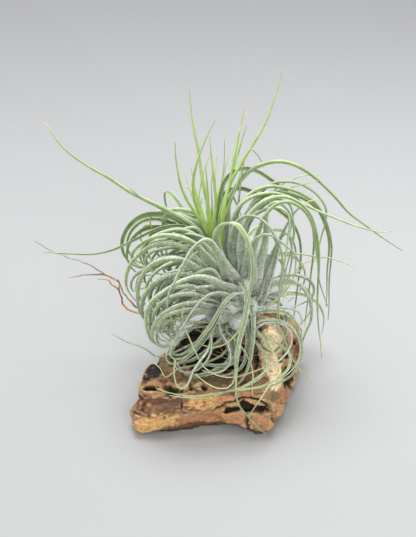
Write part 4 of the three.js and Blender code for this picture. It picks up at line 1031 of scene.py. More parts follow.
@dataclass(frozen=True)
class WoodFinish:
    """Colours of the weathered driftwood, by tone."""

    name: str = "weathered_driftwood"
    ochre: Colour = paint(180, 142, 104)
    brown: Colour = paint(130, 98, 72)
    # Raised edges: partly worn, pale wood and partly a painted highlight
    worn_edge_highlight: Colour = paint(222, 182, 136)
    # Painted shade in the cracks, pits and other hollows
    hollow_shade: Colour = paint(34, 24, 18)

    def tones(self) -> dict[WoodTone, Colour]:
        """The colour of each weathered patch, in the order that they are laid over one another.

        Returns:
            The colours by tone.
        """
        return {
            WoodTone.TAN: paint(184, 136, 98),
            WoodTone.PATINA: paint(120, 88, 70),
            WoodTone.ORANGE: paint(196, 154, 106),
            WoodTone.SPONGY: paint(214, 170, 110),
            # Rust-brown, and painted shade on the undercut lower front
            WoodTone.RUST_AND_SHADE: paint(116, 78, 52),
            WoodTone.PALE: paint(248, 224, 184),
            WoodTone.DRAB: paint(138, 116, 86),
            # Painted shade under the plant and along the lower edge
            WoodTone.PAINTED_SHADE: paint(58, 46, 34),
            WoodTone.BURNT: paint(52, 47, 46),
        }

    def material(self, weather: bpy.types.NodeTree) -> bpy.types.Material:
        """Builds the material.

        Ochre and brown change over by wide noise, and each tone's mask lays its colour over them. Fibres
        and specks vary its brightness, raised edges are paler, partly as worn wood and partly as a painted
        highlight, and the hollows of the relief are darkened with painted shade.

        Args:
            weather: The group for dead wood.

        Returns:
            The material.
        """
        material, wire, shader = new_material(self.name)
        place = wire.place()
        aged = wire.add("ShaderNodeGroup", {"Vector": place}, node_tree=weather).outputs
        colour = wire.mix(wire.stretch(aged["Patch"], 0.4, 0.62), self.ochre, self.brown)
        for tone, shade in self.tones().items():
            colour = wire.mix(wire.value(tone.value), colour, shade)
        streak = wire.stretch(aged["Fibre"], 0.3, 0.7, 0.66, 1.3)
        speck = wire.stretch(wire.noise(place, 560.0, 4.0, 0.75), 0.32, 0.68, 0.74, 1.24)
        even = wire.value(WoodTone.PATINA.value)
        for tone in (WoodTone.SPONGY, WoodTone.TAN):
            even = wire.maths("MAXIMUM", even, wire.value(tone.value))
        even = wire.maths("MULTIPLY", even, 0.7)
        streak = wire.add("ShaderNodeMix", {0: even, 2: streak, 3: 1.0}).outputs[0]
        colour = wire.shaded(colour, wire.maths("MULTIPLY", streak, speck))
        # Raised edges paler: partly worn wood, partly a painted highlight
        colour = wire.mix(wire.maths("MULTIPLY", wire.value("worn_edge_highlight"), 0.45), colour, self.worn_edge_highlight)
        # Painted shade in the hollows of the relief
        colour = wire.mix(wire.value("hollow"), colour, self.hollow_shade)
        wire.tree.links.new(colour, shader.inputs["Base Color"])
        wire.bump(shader, aged["Height"], 0.5, 0.0005)
        set_up(shader, {"Roughness": 0.86, "Specular IOR Level": 0.25})
        return material


@dataclass(frozen=True)
class RootFinish:
    """Colours of the dry, wiry roots."""

    name: str = "dry_roots"
    orange: Colour = paint(204, 156, 106)
    brown: Colour = paint(136, 114, 94)
    grey: Colour = paint(150, 154, 126)

    def material(self, weather: bpy.types.NodeTree) -> bpy.types.Material:
        """Builds the material: orange and brown in patches, streaked along the fibres, and grey ends.

        Args:
            weather: The group for dead wood.

        Returns:
            The material.
        """
        material, wire, shader = new_material(self.name)
        aged = wire.add("ShaderNodeGroup", {"Vector": wire.place(), "Scale": 1.6}, node_tree=weather).outputs
        share = wire.stretch(aged["Patch"], 0.38, 0.6)
        colour = wire.mix(wire.value("grey"), wire.mix(share, self.orange, self.brown), self.grey)
        colour = wire.shaded(colour, wire.stretch(aged["Fibre"], 0.3, 0.7, 0.75, 1.2))
        wire.tree.links.new(colour, shader.inputs["Base Color"])
        wire.bump(shader, aged["Height"], 0.4, 0.0002)
        set_up(shader, {"Roughness": 0.8})
        return material


@dataclass(frozen=True)
class DriftwoodBlock:
    """The chunk of driftwood: rows of points from the flat underside up the sides and over the top."""

    centre: tuple[float, float] = (2.0, -2.0)
    top: float = 25.0
    arch_x: float = 8.0
    arch_height: float = 3.4
    arch_half: float = 9.0
    arch_back: float = -17.0
    edge_row: int = 10
    around: int = 520
    levels: int = 185
    rim_steps: int = 60
    ledge: float = 0.9
    ledge_steps: float = 2.6
    lump: float = 0.45
    swell: float = 0.25
    crack: float = 0.9
    pit: float = 0.7
    flute: float = 0.6
    spongy_rise: float = 0.9
    pale_rise: float = 0.6
    tan_drop: float = 0.6
    # Painted shade along the lower edge: its height over the underside, how far it wavers, how strong it is
    painted_shade_line: float = 1.9
    painted_shade_wander: float = 1.3
    painted_shade_share: float = 0.8

    def height_at(self, x: Array, y: Array) -> Array:
        """Height of the upper face: its level, two slow waves and round lumps that fade as a bell curve.

        Args:
            x: Plan places in mm.
            y: The same, towards the back.

        Returns:
            The heights in mm.
        """
        z = self.top + 0.9 * np.sin(0.31 * x + 1.3) * np.cos(0.27 * y + 0.7)
        z = z + 0.6 * np.sin(0.63 * x + 0.4 * y + 2)
        for cx, cy, height, radius in WOOD_LUMPS:
            z = z + height * np.exp(-((x - cx) ** 2 + (y - cy) ** 2) / radius**2)
        return z

    def outline(self, count: int) -> Array:
        """The plan outline at even steps along its closed curve."""
        return evenly_along(np.array(WOOD_OUTLINE, dtype=float), count, closed=True)

    def holds(self, x: Array, y: Array, margin: float) -> Array:
        """Whether plan points lie in the outline or within a margin of it.

        A point is inside where a line from it to the right crosses the outline an odd number of times.

        Args:
            x: Plan places in mm.
            y: The same, towards the back.
            margin: How far outside still counts.

        Returns:
            One truth value a point.
        """
        rim = self.outline(self.rim_steps)
        after = np.roll(rim, -1, 0)
        x, y = np.asarray(x)[..., None], np.asarray(y)[..., None]
        spans = (rim[:, 1] > y) != (after[:, 1] > y)
        rise = np.where(after[:, 1] == rim[:, 1], 1e-9, after[:, 1] - rim[:, 1])
        left = x < rim[:, 0] + (y - rim[:, 1]) * (after[:, 0] - rim[:, 0]) / rise
        inside = (spans & left).sum(-1) % 2 == 1
        near = np.hypot(rim[:, 0] - x, rim[:, 1] - y).min(-1) < margin
        return inside | near

    def cleared(self, rows: Array, margin: float = 3.0) -> Array:
        """Points of the picture plane set in depth, then brought forward until they clear the wood.

        Args:
            rows: Across, down and back of each point.
            margin: Clearance over the wood.

        Returns:
            The points.
        """
        back = rows[:, 2].astype(float).copy()
        for _ in range(300):
            p = SIGHT.points(rows[:, 0], rows[:, 1], back)
            x, y, z = p.T
            low = self.holds(x, y, margin) & (z < self.height_at(x, y) + margin)
            if not low.any():
                break
            back[low] -= 0.5
        return SIGHT.points(rows[:, 0], rows[:, 1], back)

    def surface(self) -> Array:
        """The worn block before its fine relief, as a grid of rows by places around.

        A row is a share of the way from the centre to the outline and a share of the height. The first
        starts close to the second, which leaves the flat underside few rows. Hollows, each a bell curve
        along and up the side, push the side inwards, and an arch lifts the front.

        Returns:
            The grid.
        """
        rows = evenly_along(np.array(WOOD_ROWS, dtype=float), self.levels - 1)
        share, rise = np.split(rows, 2, axis=1)
        rise = np.clip(rise, 0, 1)
        rim = self.outline(self.around)
        cx, cy = self.centre
        x = lerp(cx, rim[None, :, 0], share)
        y = lerp(cy, rim[None, :, 1], share)
        front = smooth((self.arch_back - y) / 5) * smooth((share - 0.72) / 0.12)
        front = front * np.exp(-(((x - self.arch_x) / self.arch_half) ** 2))
        z = np.maximum(rise * self.height_at(x, y), self.arch_height * front)
        side = np.where(share > 0.85, 1 - smooth((rise - 0.93) / 0.07), 0)
        worn = np.zeros_like(x)
        for hx, hy, hz, depth, along, tall in WOOD_HOLLOWS:
            off = ((x - hx) ** 2 + (y - hy) ** 2) / along**2 + ((z - hz) / tall) ** 2
            worn += depth * np.exp(-off)
        rough = 0.7 * np.sin(0.5 * z + 0.3 * x) + 0.6 * np.sin(0.45 * x - 0.7 * y)
        out = unit(np.stack([x - cx, y - cy], axis=-1))
        push = side * (worn + smooth((rise - 0.05) / 0.1) * rough)
        return np.stack([x - push * out[..., 0], y - push * out[..., 1], z], axis=-1)

    def spot(self, seen: Array, spot: tuple[float, ...], ragged: Array, edge: float = 0.28) -> Array:
        """How far each point is inside one turned ellipse of the picture, with a ragged edge.

        Args:
            seen: Across and down of each point.
            spot: Middle across and down, half width, half height and degrees turned.
            ragged: How much further out than the ellipse the edge lies, as a share.
            edge: Width of the edge, as a share.

        Returns:
            From 0 outside to 1 inside.
        """
        across, down, wide, tall, turn = spot
        u, v = seen[..., 0] - across, seen[..., 1] - down
        sin, cos = math.sin(math.radians(turn)), math.cos(math.radians(turn))
        far = np.hypot((u * cos + v * sin) / wide, (v * cos - u * sin) / tall)
        return smooth((1 + ragged - far) / edge)

    def masks(self, p: Array, seen: Array, facing: Array) -> dict[WoodTone, Array]:
        """How much of each tone every point has.

        Where the surface faces the picture they are its patches, with edges broken up by noise. On the
        other sides they are blots of wide noise, but none are burnt or painted shade. A wavering line of
        painted shade runs along the lower edge, where the wood meets the floor.

        Args:
            p: Points of the surface.
            seen: Across and down of each point in the picture.
            facing: How far each point faces the picture, from 0 to 1.

        Returns:
            One mask for each tone.
        """
        found = {}
        for i, (tone, patches) in enumerate(WOOD_PATCHES.items()):
            ragged = 0.3 * rough_noise(p / 4.0, 4, 31 + 7 * i)
            total = np.max([self.spot(seen, spot, ragged) for spot in patches], axis=0)
            blot = smooth((rough_noise(p / 13.0, 3, 60 + i) - 0.45) / 0.2)
            if tone in (WoodTone.BURNT, WoodTone.PAINTED_SHADE):
                blot = np.zeros_like(blot)
            found[tone] = lerp(blot, total, facing)
        # Painted shade along the lower edge, where the wood meets the floor
        line = self.painted_shade_line + self.painted_shade_wander * rough_noise(p / 5.0, 3, 95)
        over = p[..., 2] - p[self.edge_row, :, 2]
        found[WoodTone.PAINTED_SHADE] = np.maximum(found[WoodTone.PAINTED_SHADE], self.painted_shade_share * smooth(line - over))
        return found

    def carved(self, p: Array, seen: Array, facing: Array) -> Array:
        """Depth of the pits and cracks seen in the picture, with ragged edges.

        A pit is an ellipse with a soft edge. A crack is deepest along its line and ends a little way off
        it, by each point's distance to the nearest of the line's straight parts.

        Args:
            p: Points of the surface.
            seen: Across and down of each point in the picture.
            facing: How far each point faces the picture, from 0 to 1.

        Returns:
            The depth in mm.
        """
        ragged = 0.32 * rough_noise(p / 2.6, 3, 91)
        depth = np.zeros(p.shape[:-1])
        for *spot, deep in WOOD_PITS:
            depth = np.maximum(depth, deep * self.spot(seen, tuple(spot), ragged, 0.6))
        for deep, half, *places in WOOD_CRACKS:
            far = np.full(p.shape[:-1], 99.0)
            for a, b in zip(np.array(places, float)[:-1], np.array(places, float)[1:]):
                along = np.clip(((seen - a) @ (b - a)) / ((b - a) @ (b - a)), 0, 1)
                far = np.minimum(far, np.linalg.norm(seen - a - along[..., None] * (b - a), axis=-1))
            depth = np.maximum(depth, deep * smooth(1.3 + 1.6 * ragged - far / half))
        return depth * facing

    def relief(self, p: Array, masks: dict[WoodTone, Array]) -> tuple[Array, Array]:
        """Fine height of the weathered surface and the painted shade of its own hollows.

        Ledges are layered noise drawn out along the grain and cut into steps. Lumps are finer noise.
        Cracks lie where noise stretched along the grain passes zero. Pits lie round scattered points,
        close together where the wood is spongy. Each tone stands a little over or under the rest, and
        the tan foot at the right is fluted by a sine across it.

        Args:
            p: Points of the surface.
            masks: The tones' masks.

        Returns:
            The height in millimetres and the painted shade from 0 to 1.
        """
        spongy, even = masks[WoodTone.SPONGY], np.maximum(masks[WoodTone.TAN], masks[WoodTone.PALE])
        rough = 1 - 0.8 * even
        steps = self.ledge_steps * rough_noise(p / np.array([15.0, 9.0, 5.5]), 3, 1)
        part = steps - np.floor(steps)
        ledge = (np.floor(steps) + smooth((part - 0.4) / 0.2)) / self.ledge_steps
        height = rough * (self.ledge * ledge + self.lump * rough_noise(p / 3.4, 4, 5))
        height += self.swell * rough_noise(p / 6.0, 2, 7)
        grain = rough_noise(p / np.array([16.0, 7.0, 3.2]) + 0.25 * soft_noise(p / 6.0, 3)[..., None], 3, 9)
        crack = np.exp(-((grain / 0.05) ** 2)) * smooth((rough_noise(p / 11.0, 2, 12) - 0.05) / 0.3)
        pit = smooth((0.42 - pit_noise(p / 2.0, 15)) / 0.25) * (spongy + 0.12 * rough)
        height += self.spongy_rise * spongy + self.pale_rise * masks[WoodTone.PALE]
        height -= self.tan_drop * masks[WoodTone.TAN] * (1 - spongy)
        height -= self.crack * crack * rough + self.pit * pit
        foot = smooth((9 - p[..., 2]) / 4) * smooth((p[..., 0] - 14) / 3) * masks[WoodTone.TAN]
        height += self.flute * foot * np.sin(2.2 * p[..., 0] + 0.2 * p[..., 2])
        # Painted shade in the cracks and pits
        hollow_shade = np.clip(0.7 * crack * rough + 0.5 * pit * (1 - 0.5 * spongy), 0, 1)
        return height, hollow_shade

    def raised(self, height: Array, reach: int = 5) -> Array:
        """How far each point of the grid stands over the mean of its neighbours.

        Args:
            height: Height of each point, rows by places around.
            reach: How many points away the neighbours go.

        Returns:
            The difference in mm.
        """
        wide = np.pad(height, ((reach, reach), (0, 0)), mode="edge")
        mean = np.mean([wide[i:i + len(height)] for i in range(0, 2 * reach + 1, 2)], axis=0)
        mean = np.mean([np.roll(mean, i, 1) for i in range(-reach, reach + 1, 2)], axis=0)
        return height - mean

    def build(self, finish: WoodFinish, weather: bpy.types.NodeTree) -> None:
        """Builds the block and dresses it.

        Args:
            finish: Its colours.
            weather: The group for dead wood.
        """
        grid = self.surface()
        across = np.roll(grid, -1, 1) - np.roll(grid, 1, 1)
        normal = unit(np.cross(across, np.gradient(grid, axis=0)))
        facing = smooth(((normal * unit(SIGHT.eye() - grid)).sum(-1) + 0.2) / 0.25)
        seen = SIGHT.seen(grid)
        masks = self.masks(grid, seen, facing)
        height, hollow_shade = self.relief(grid, masks)
        carved = self.carved(grid, seen, facing)
        height -= carved
        level = smooth(np.arange(self.levels) / 10.0)[:, None]
        grid = grid + normal * (height * level)[..., None]
        grid[..., 2] = np.maximum(grid[..., 2], 0.0)
        # Painted shade deepens with the carved depth; the mesh carries it under the name hollow
        hollow_shade = np.clip(hollow_shade + 0.92 * smooth((carved - 0.5) / 2.0), 0, 1)
        # Raised edges are painted paler: partly worn wood and partly a painted highlight
        worn_edge_highlight = smooth((self.raised(height) - 0.1) / 0.7) * (1 - masks[WoodTone.PAINTED_SHADE]) * (1 - hollow_shade)
        layers = {tone.value: mask for tone, mask in masks.items()} | {"hollow": hollow_shade, "worn_edge_highlight": worn_edge_highlight}
        values = {key: with_middles(layer[None, ..., None])[0] for key, layer in layers.items()}
        points = with_middles(grid[None])[0]
        faces = tube_faces(1, self.levels, self.around)
        make_piece("wood_block", points, faces, finish.material(weather), values, "driftwood")


@dataclass(frozen=True)
class Stem:
    """The short stem: a leaning core that the sheaths clothe, widest below its top."""

    foot: tuple[float, float, float] = (11.0, 17.0, 30.5)
    top: tuple[float, float, float] = (2.0, 16.0, 66.0)
    heights: tuple[float, ...] = (0.0, 0.08, 0.35, 0.7, 1.0, 1.2, 1.28)
    radii: tuple[float, ...] = (5.0, 6.5, 8.5, 10.5, 10.5, 8.0, 4.0)
    sunk: float = 3.0

    def axis(self) -> Array:
        """The direction of the stem."""
        return unit(np.array(self.top) - np.array(self.foot))

    def point(self, height: Array | float) -> Array:
        """The point of the stem's middle line at a share of its height."""
        return lerp(np.array(self.foot), np.array(self.top), np.asarray(height)[..., None])

    def radius(self, height: Array | float) -> Array:
        """The core's radius at a share of its height."""
        return np.interp(height, self.heights, self.radii)

    def rooted(self, seat: float, points: Array) -> Array:
        """A leaf's given points with its foot, sunk a little into the core, before them.

        Args:
            seat: Share of the stem's height that the leaf sits at.
            points: The leaf's given points.

        Returns:
            The points from the foot on.
        """
        middle = self.point(seat)
        out = points[0] - middle
        out = unit(out - self.axis() * (out @ self.axis()))
        return np.vstack([middle + out * (self.radius(seat) - self.sunk), points])


STEM = Stem()
WOOD = DriftwoodBlock()


@dataclass
class Leaf:
    """One leaf: its way from foot to tip, how it grows, and how green it is."""

    way: Array
    growth: Growth
    green: float


@dataclass(frozen=True)
class BladeForm:
    """The shape of a leaf across its way: a broad curved sheath that narrows into a channelled blade."""

    tip: float = 0.42
    keel: float = 1.5
    keel_tip: float = 0.4
    keel_blade: float = 2.6
    wrap: float = 2.0
    wrap_share: float = 0.3
    keel_lift: float = 0.3
    sheath_lift: float = 0.24
    walls: tuple[float, float, float] = (0.7, 0.3, 1.1)
    silver_reach: float = 46.0
    # Painted shade at each leaf's foot, where it meets the core: its reach and strength
    foot_reach: float = 7.0
    foot_shade: float = 0.75
    aged: float = 0.85
    slender: float = 2.0
    rings: int = 48
    turned: float = 0.75
    early: int = 7
    spots: tuple[float, ...] = (-1.0, -0.84, -0.45, 0.0, 0.45, 0.84, 1.0, 0.72, 0.36, 0.0, -0.36, -0.72)
    outer: int = 7

    def frames(self, ways: Array) -> tuple[Array, Array]:
        """The directions across and inwards along many ways at once.

        The first across is a mix of two: one square to the stem and to the leaf's own start, and one
        square to the leaf's early way and to the line of sight, which shows the sheath's breadth. Each
        later one is the one before it with its part along the way taken out, so that the blade doesn't
        twist.

        Args:
            ways: Leaves by rings by coordinates.

        Returns:
            Across and inwards, each as ways is.
        """
        along = unit(np.gradient(ways, axis=1))
        out = ways[:, 1] - ways[:, 0]
        out = out - STEM.axis() * (out @ STEM.axis())[:, None]
        side = unit(np.cross(STEM.axis(), out))
        start = unit(ways[:, self.early] - ways[:, 0])
        shown = unit(np.cross(start, SIGHT.eye() - ways[:, 0]))
        shown = shown * np.where((shown * side).sum(-1, keepdims=True) > -0.4, 1.0, -1.0)
        side = unit(lerp(side, shown, self.turned))
        across = np.empty_like(ways)
        for i in range(ways.shape[1]):
            side = unit(side - along[:, i] * (side * along[:, i]).sum(-1, keepdims=True))
            across[:, i] = side
        return across, np.cross(along, across)

    def carry(self, leaves: list[Leaf]) -> tuple[Array, Array, dict[str, Array]]:
        """Carries the section along every leaf.

        The outer line of a section falls from its edges to the keel, steeply near them. The inner line
        hangs less deep between them and makes the groove. The sheath's width fades as a bell curve of
        the cube of the distance from the foot, and the blade's, which wavers a little, narrows towards
        its tip. Each leaf's foot gets painted shade where it meets the core.

        Args:
            leaves: The leaves.

        Returns:
            Points, faces and the values that the finish reads.
        """
        ways = np.stack([leaf.way for leaf in leaves])
        sheath, reach, blade, taper = np.array([leaf.growth.value for leaf in leaves]).T[..., None]
        steps = np.linalg.norm(np.diff(ways, axis=1), axis=-1)
        reached = np.concatenate([np.zeros((len(leaves), 1)), steps.cumsum(1)], axis=1)
        t = reached / reached[:, -1:]
        k = np.arange(len(leaves))[:, None]
        broad = np.exp(-((reached / reach) ** 3))
        slim = np.minimum(1.0, blade / self.keel_blade)
        wave = 1 + 0.05 * np.sin(reached * 0.23 + 6.3 * draw(k, 31)) + 0.04 * np.sin(reached * 0.61 + k)
        width = lerp(lerp(blade * wave, self.tip, t**taper), sheath, broad)
        keel = lerp(self.keel * slim, self.keel_tip, t**taper)
        depth = lerp(keel, np.minimum(self.wrap, self.wrap_share * sheath), broad)
        lift = lerp(self.keel_lift * keel, self.sheath_lift * width, broad)
        foot_wall, tip_wall, sheath_wall = self.walls
        wall = np.minimum(0.6 * depth, lerp(lerp(foot_wall, tip_wall, t), sheath_wall, broad))
        across, inner = self.frames(ways)
        u = np.array(self.spots)
        hollow = np.arange(len(u)) >= self.outer
        drop = np.where(hollow, 1 - u**2, 1 - np.abs(u) ** 2.6)
        fall = depth[..., None] * drop - np.where(hollow, wall[..., None] * drop, 0.0)
        place = (width / 2)[..., None] * u
        raised = lift[..., None] - fall
        rings = ways[:, :, None] + across[:, :, None] * place[..., None]
        rings = rings + inner[:, :, None] * raised[..., None]
        green = np.array([leaf.green for leaf in leaves])[:, None]
        aged = self.aged * draw(k, 43) * (blade < self.slender) * (green < 0.9)
        channel_and_shade = np.where(hollow, 1 - np.abs(u) ** 1.5, 0.2 - 0.2 * u**2) * (1 - 0.8 * broad[..., None])
        # Painted shade where the leaf's foot meets the core
        painted_foot_shade = self.foot_shade * np.exp(-((reached / self.foot_reach) ** 2))
        along_leaf = {
            "silver": lerp(0.16, 1.0, np.exp(-((reached / self.silver_reach) ** 2))) * (1 - 0.2 * green),
            "green": np.clip(green * lerp(0.15, 1.15, smooth(t * 1.8)), 0, 1),
            "tint": draw(k, 41),
            "dry": np.maximum(smooth((t - lerp(0.86, 1.0, draw(k, 42))) / 0.12), aged),
        }
        values = {key: value[..., None] for key, value in along_leaf.items()}
        values["rim"] = smooth((np.abs(u) - 0.6) / 0.4)
        values["channel_and_shade"] = np.maximum(channel_and_shade, painted_foot_shade[..., None])
        values = {key: with_middles((value * np.ones(rings.shape[:3]))[..., None]).ravel()
                  for key, value in values.items()}
        points = with_middles(rings).reshape(-1, 3)
        return points, tube_faces(len(leaves), self.rings + 1, len(u)), values

    def leaf(self, controls: Array, growth: Growth, green: float) -> Leaf:
        """A leaf along a curve through the given points, cut into this form's rings."""
        return Leaf(evenly_along(controls, self.rings), growth, green)


@dataclass(frozen=True)
class LeafRosette:
    """The stem with its mature leaves: the drawn ones, their fellows, and a golden-angle spiral."""

    form: BladeForm = BladeForm()
    spiral: int = 16
    inner_bars: int = 2
    inner_size: tuple[float, float] = (0.66, 0.9)
    inner_shift: float = 12.0
    inner_back: tuple[float, float] = (3.0, 13.0)
    golden: float = math.radians(137.508)
    spiral_seat: tuple[float, float] = (0.05, 0.78)
    spiral_rise: tuple[float, float] = (1.35, 0.5)
    spiral_curl: tuple[float, float] = (2.0, 3.3)
    spiral_sway: float = 0.9
    spiral_length: tuple[float, float] = (88.0, 110.0)
    spiral_turn: tuple[float, float] = (0.12, 0.88)
    spiral_steps: int = 11
    over_wood: float = 3.0
    over_ground: float = 6.0
    thin_over_wood: float = 2.0
    slender_over_wood: float = 1.5
    shade_reach: float = 1.3
    green_from: float = 0.36
    green_over: float = 0.46
    green_spread: float = 0.22
    core_length: float = 36.0
    core_rings: int = 40
    core_around: int = 48
    base_rings: int = 22
    base_around: int = 32
    base_flat: float = 0.9
    base_dents: float = 0.3

    def greenness(self, seat: float, k: int) -> float:
        """Young leaves, high on the stem, are greener."""
        young = smooth((seat - self.green_from) / self.green_over)
        return float(np.clip(young + self.green_spread * draw(k, 40), 0, 1))

    def inner_leaf(self, row: tuple, k: int) -> tuple[float, Array]:
        """The seat and points of the leaf that follows a drawn one, closer to the stem and further back.

        Args:
            row: The drawn leaf's seat and points.
            k: Number of the new leaf's draws.

        Returns:
            Its seat, and its points in picture units.
        """
        given = np.array(row[1:], dtype=float)
        size, behind = lerp(*self.inner_size, draw(k, 6)), lerp(*self.inner_back, draw(k, 7))
        t = smooth(np.arange(len(given)) / 3.0)[:, None]
        shift = self.inner_shift * (np.array([draw(k, 8), draw(k, 9)]) - 0.5) * (1 + t)
        moved = given[0, :2] + size * (given[:, :2] - given[0, :2]) + t * shift
        return row[0] + 0.04, np.column_stack([moved, given[:, 2] + t[:, 0] * behind])

    def spiral_leaf(self, k: int) -> tuple[float, Array]:
        """The seat and points of a spiral leaf, which rises out of the core, bends over and curls back.

        Its angle from the stem grows by a soft step, and its compass direction, turned by the golden
        angle from leaf to leaf, sways with the square of the way. It stays above the wood and the ground.

        Args:
            k: Its number.

        Returns:
            Its seat and its points.
        """
        seat = lerp(*self.spiral_seat, (k + 0.5) / self.spiral)
        rise = lerp(*self.spiral_rise, seat) + 0.25 * (draw(k, 2) - 0.5)
        curl = lerp(*self.spiral_curl, draw(k, 3))
        sway = self.spiral_sway * (draw(k, 4) - 0.5)
        turn = lerp(*self.spiral_turn, ((k * self.golden) / math.pi) % 1) * math.pi
        length = lerp(*self.spiral_length, draw(k, 1)) * (1 - 0.22 * math.cos(turn) ** 2)
        step = length / self.spiral_steps
        at = STEM.point(seat)
        points = []
        for i in range(self.spiral_steps):
            t = (i + 0.5) / self.spiral_steps
            angle = rise + curl * smooth((t - 0.2) / 0.8)
            way = turn + sway * t * t
            out = np.array([math.cos(way), math.sin(way), 0.0])
            at = at + STEM.axis() * step * math.cos(angle) + out * step * math.sin(angle)
            low = self.over_ground
            if WOOD.holds(at[0], at[1], self.over_wood):
                low = WOOD.height_at(at[0], at[1]) + self.over_wood
            at[2] = max(at[2], low)
            if i > 1:
                points.append(at.copy())
        return float(seat), np.array(points)

    def leaves(self) -> list[Leaf]:
        """All the mature leaves, from their tables and rules.

        Drawn leaves come first, then those that follow a drawn one, then the spiral behind.

        Returns:
            The leaves.
        """
        tables = {
            Growth.FAN: FAN_LEAVES,
            Growth.LONG: LONG_LEAVES,
            Growth.LEFT: LEFT_LEAVES,
            Growth.LOW: LOW_LEAVES,
            Growth.FRONT: FRONT_LEAVES,
            Growth.BAR: BAR_LEAVES,
            Growth.LOOP: LOOP_LEAVES,
            Growth.SLENDER: SLENDER_LEAVES,
        }
        found = []
        for growth, rows in tables.items():
            margin = self.slender_over_wood if growth is Growth.SLENDER else self.over_wood
            for row in rows:
                found.append((row[0], WOOD.cleared(np.array(row[1:], dtype=float), margin), growth))
        fellows = (
            (Growth.INNER, LEFT_LEAVES, 0, self.over_wood),
            (Growth.BAR, BAR_LEAVES[:self.inner_bars], 0, self.over_wood),
            (Growth.THIN, 2 * (FAN_LEAVES + LEFT_LEAVES) + LEFT_LEAVES, 40, self.thin_over_wood),
        )
        for growth, rows, first, margin in fellows:
            for k, row in enumerate(rows, first):
                seat, given = self.inner_leaf(row, k)
                found.append((seat, WOOD.cleared(given, margin), growth))
        for k in range(self.spiral):
            seat, points = self.spiral_leaf(k)
            found.append((seat, points, Growth.SPIRAL))
        return [self.form.leaf(STEM.rooted(seat, points), growth, self.greenness(seat, k))
                for k, (seat, points, growth) in enumerate(found)]

    def sheath_values(self, gap_shade: Array, rim: float, tint: Array | float) -> dict[str, Array]:
        """The values that the finish reads, for parts that are sheath all over.

        Args:
            gap_shade: The painted shade of each point in the gaps between the sheath feet and the core.
            rim: How pale they are, as the rim of a leaf is.
            tint: How bright they are.

        Returns:
            The values by name.
        """
        flat = np.ones(len(gap_shade))
        return {"silver": flat, "green": 0 * flat, "rim": rim * flat, "channel_and_shade": gap_shade,
                "tint": tint * flat, "dry": 0 * flat}

    def core(self) -> tuple[Array, Array, dict[str, Array]]:
        """The core as rings round the stem, its radius a smooth curve through the profile.

        Returns:
            Points, faces and the values that the finish reads.
        """
        shape = np.column_stack([STEM.heights, np.array(STEM.radii) / self.core_length])
        height, radius = evenly_along(shape, self.core_rings).T
        side = np.array([1.0, 0.0, 0.0])
        side = unit(side - STEM.axis() * (side @ STEM.axis()))
        other = np.cross(STEM.axis(), side)
        a = np.linspace(0, 2 * math.pi, self.core_around, endpoint=False)
        round_way = np.cos(a)[:, None] * side + np.sin(a)[:, None] * other
        rings = STEM.point(height)[:, None] + round_way * (self.core_length * radius)[:, None, None]
        points = with_middles(rings[None])[0]
        # Painted shade on the core beside the sheath feet
        values = self.sheath_values(self.gap_shade(points, -1), 0.0, 0.4)
        return points, tube_faces(1, len(height), len(a)), values

    def gap_shade(self, points: Array, own: int) -> Array:
        """Painted shade of points in the gaps beside the swollen sheath feet.

        It falls off exponentially with the distance to the nearest foot other than the point's own,
        or, for a point of a foot, to the core.

        Args:
            points: The points.
            own: Number of the foot that they belong to, or -1 for the core.

        Returns:
            From 0 in the open to 1 where the surfaces meet.
        """
        rows = np.array(SHEATH_BASES, dtype=float)
        centres, radii = SIGHT.points(*rows[:, :3].T), rows[:, 3]
        far = np.linalg.norm(points[:, None] - centres, axis=-1) - radii
        if own >= 0:
            off = points - STEM.point(0.0)
            height = off @ STEM.axis()
            across = np.linalg.norm(off - height[:, None] * STEM.axis(), axis=-1)
            length = np.linalg.norm(STEM.point(1.0) - STEM.point(0.0))
            far[:, own] = across - STEM.radius(height / length)
        return np.exp(-np.maximum(far.min(-1), 0) / self.shade_reach)

    def bases(self) -> tuple[Array, Array, dict[str, Array]]:
        """The swollen sheath feet: balls pressed a little flat and dented by soft noise.

        Returns:
            Points, faces and the values that the finish reads.
        """
        rows = np.array(SHEATH_BASES, dtype=float)
        centres, radii = SIGHT.points(*rows[:, :3].T), rows[:, 3]
        ball = ball_grid(self.base_rings, self.base_around, 0.08) * np.array([1.0, 1.0, self.base_flat])
        rings = centres[:, None, None] + radii[:, None, None, None] * ball[None]
        rings = rings + ball[None] * (self.base_dents * soft_noise(rings / 4.0, 91))[..., None]
        # Painted light: the feet get a brighter tint and a pale rim, against the shade of the leaves above
        # them
        tint = lerp(0.7, 1.4, draw(np.arange(len(rows)), 92))[:, None, None] * np.ones(rings.shape[:3])
        points = with_middles(rings).reshape(-1, 3)
        # Painted shade where the feet meet one another and the core
        gap_shade = np.concatenate([self.gap_shade(part, i) for i, part in enumerate(np.split(points, len(rows)))])
        values = self.sheath_values(gap_shade, 0.6, with_middles(tint[..., None]).ravel())
        return points, tube_faces(len(rows), rings.shape[1], rings.shape[2]), values

    def build(self, finish: LeafFinish, down: bpy.types.NodeTree) -> None:
        """Builds the rosette as one piece and dresses it.

        Args:
            finish: Its colours.
            down: The group for the down.
        """
        points, faces, values = joined([self.form.carry(self.leaves()), self.core(), self.bases()])
        make_piece("leaf_rosette", points, faces, finish.material(down), values, "rosette")


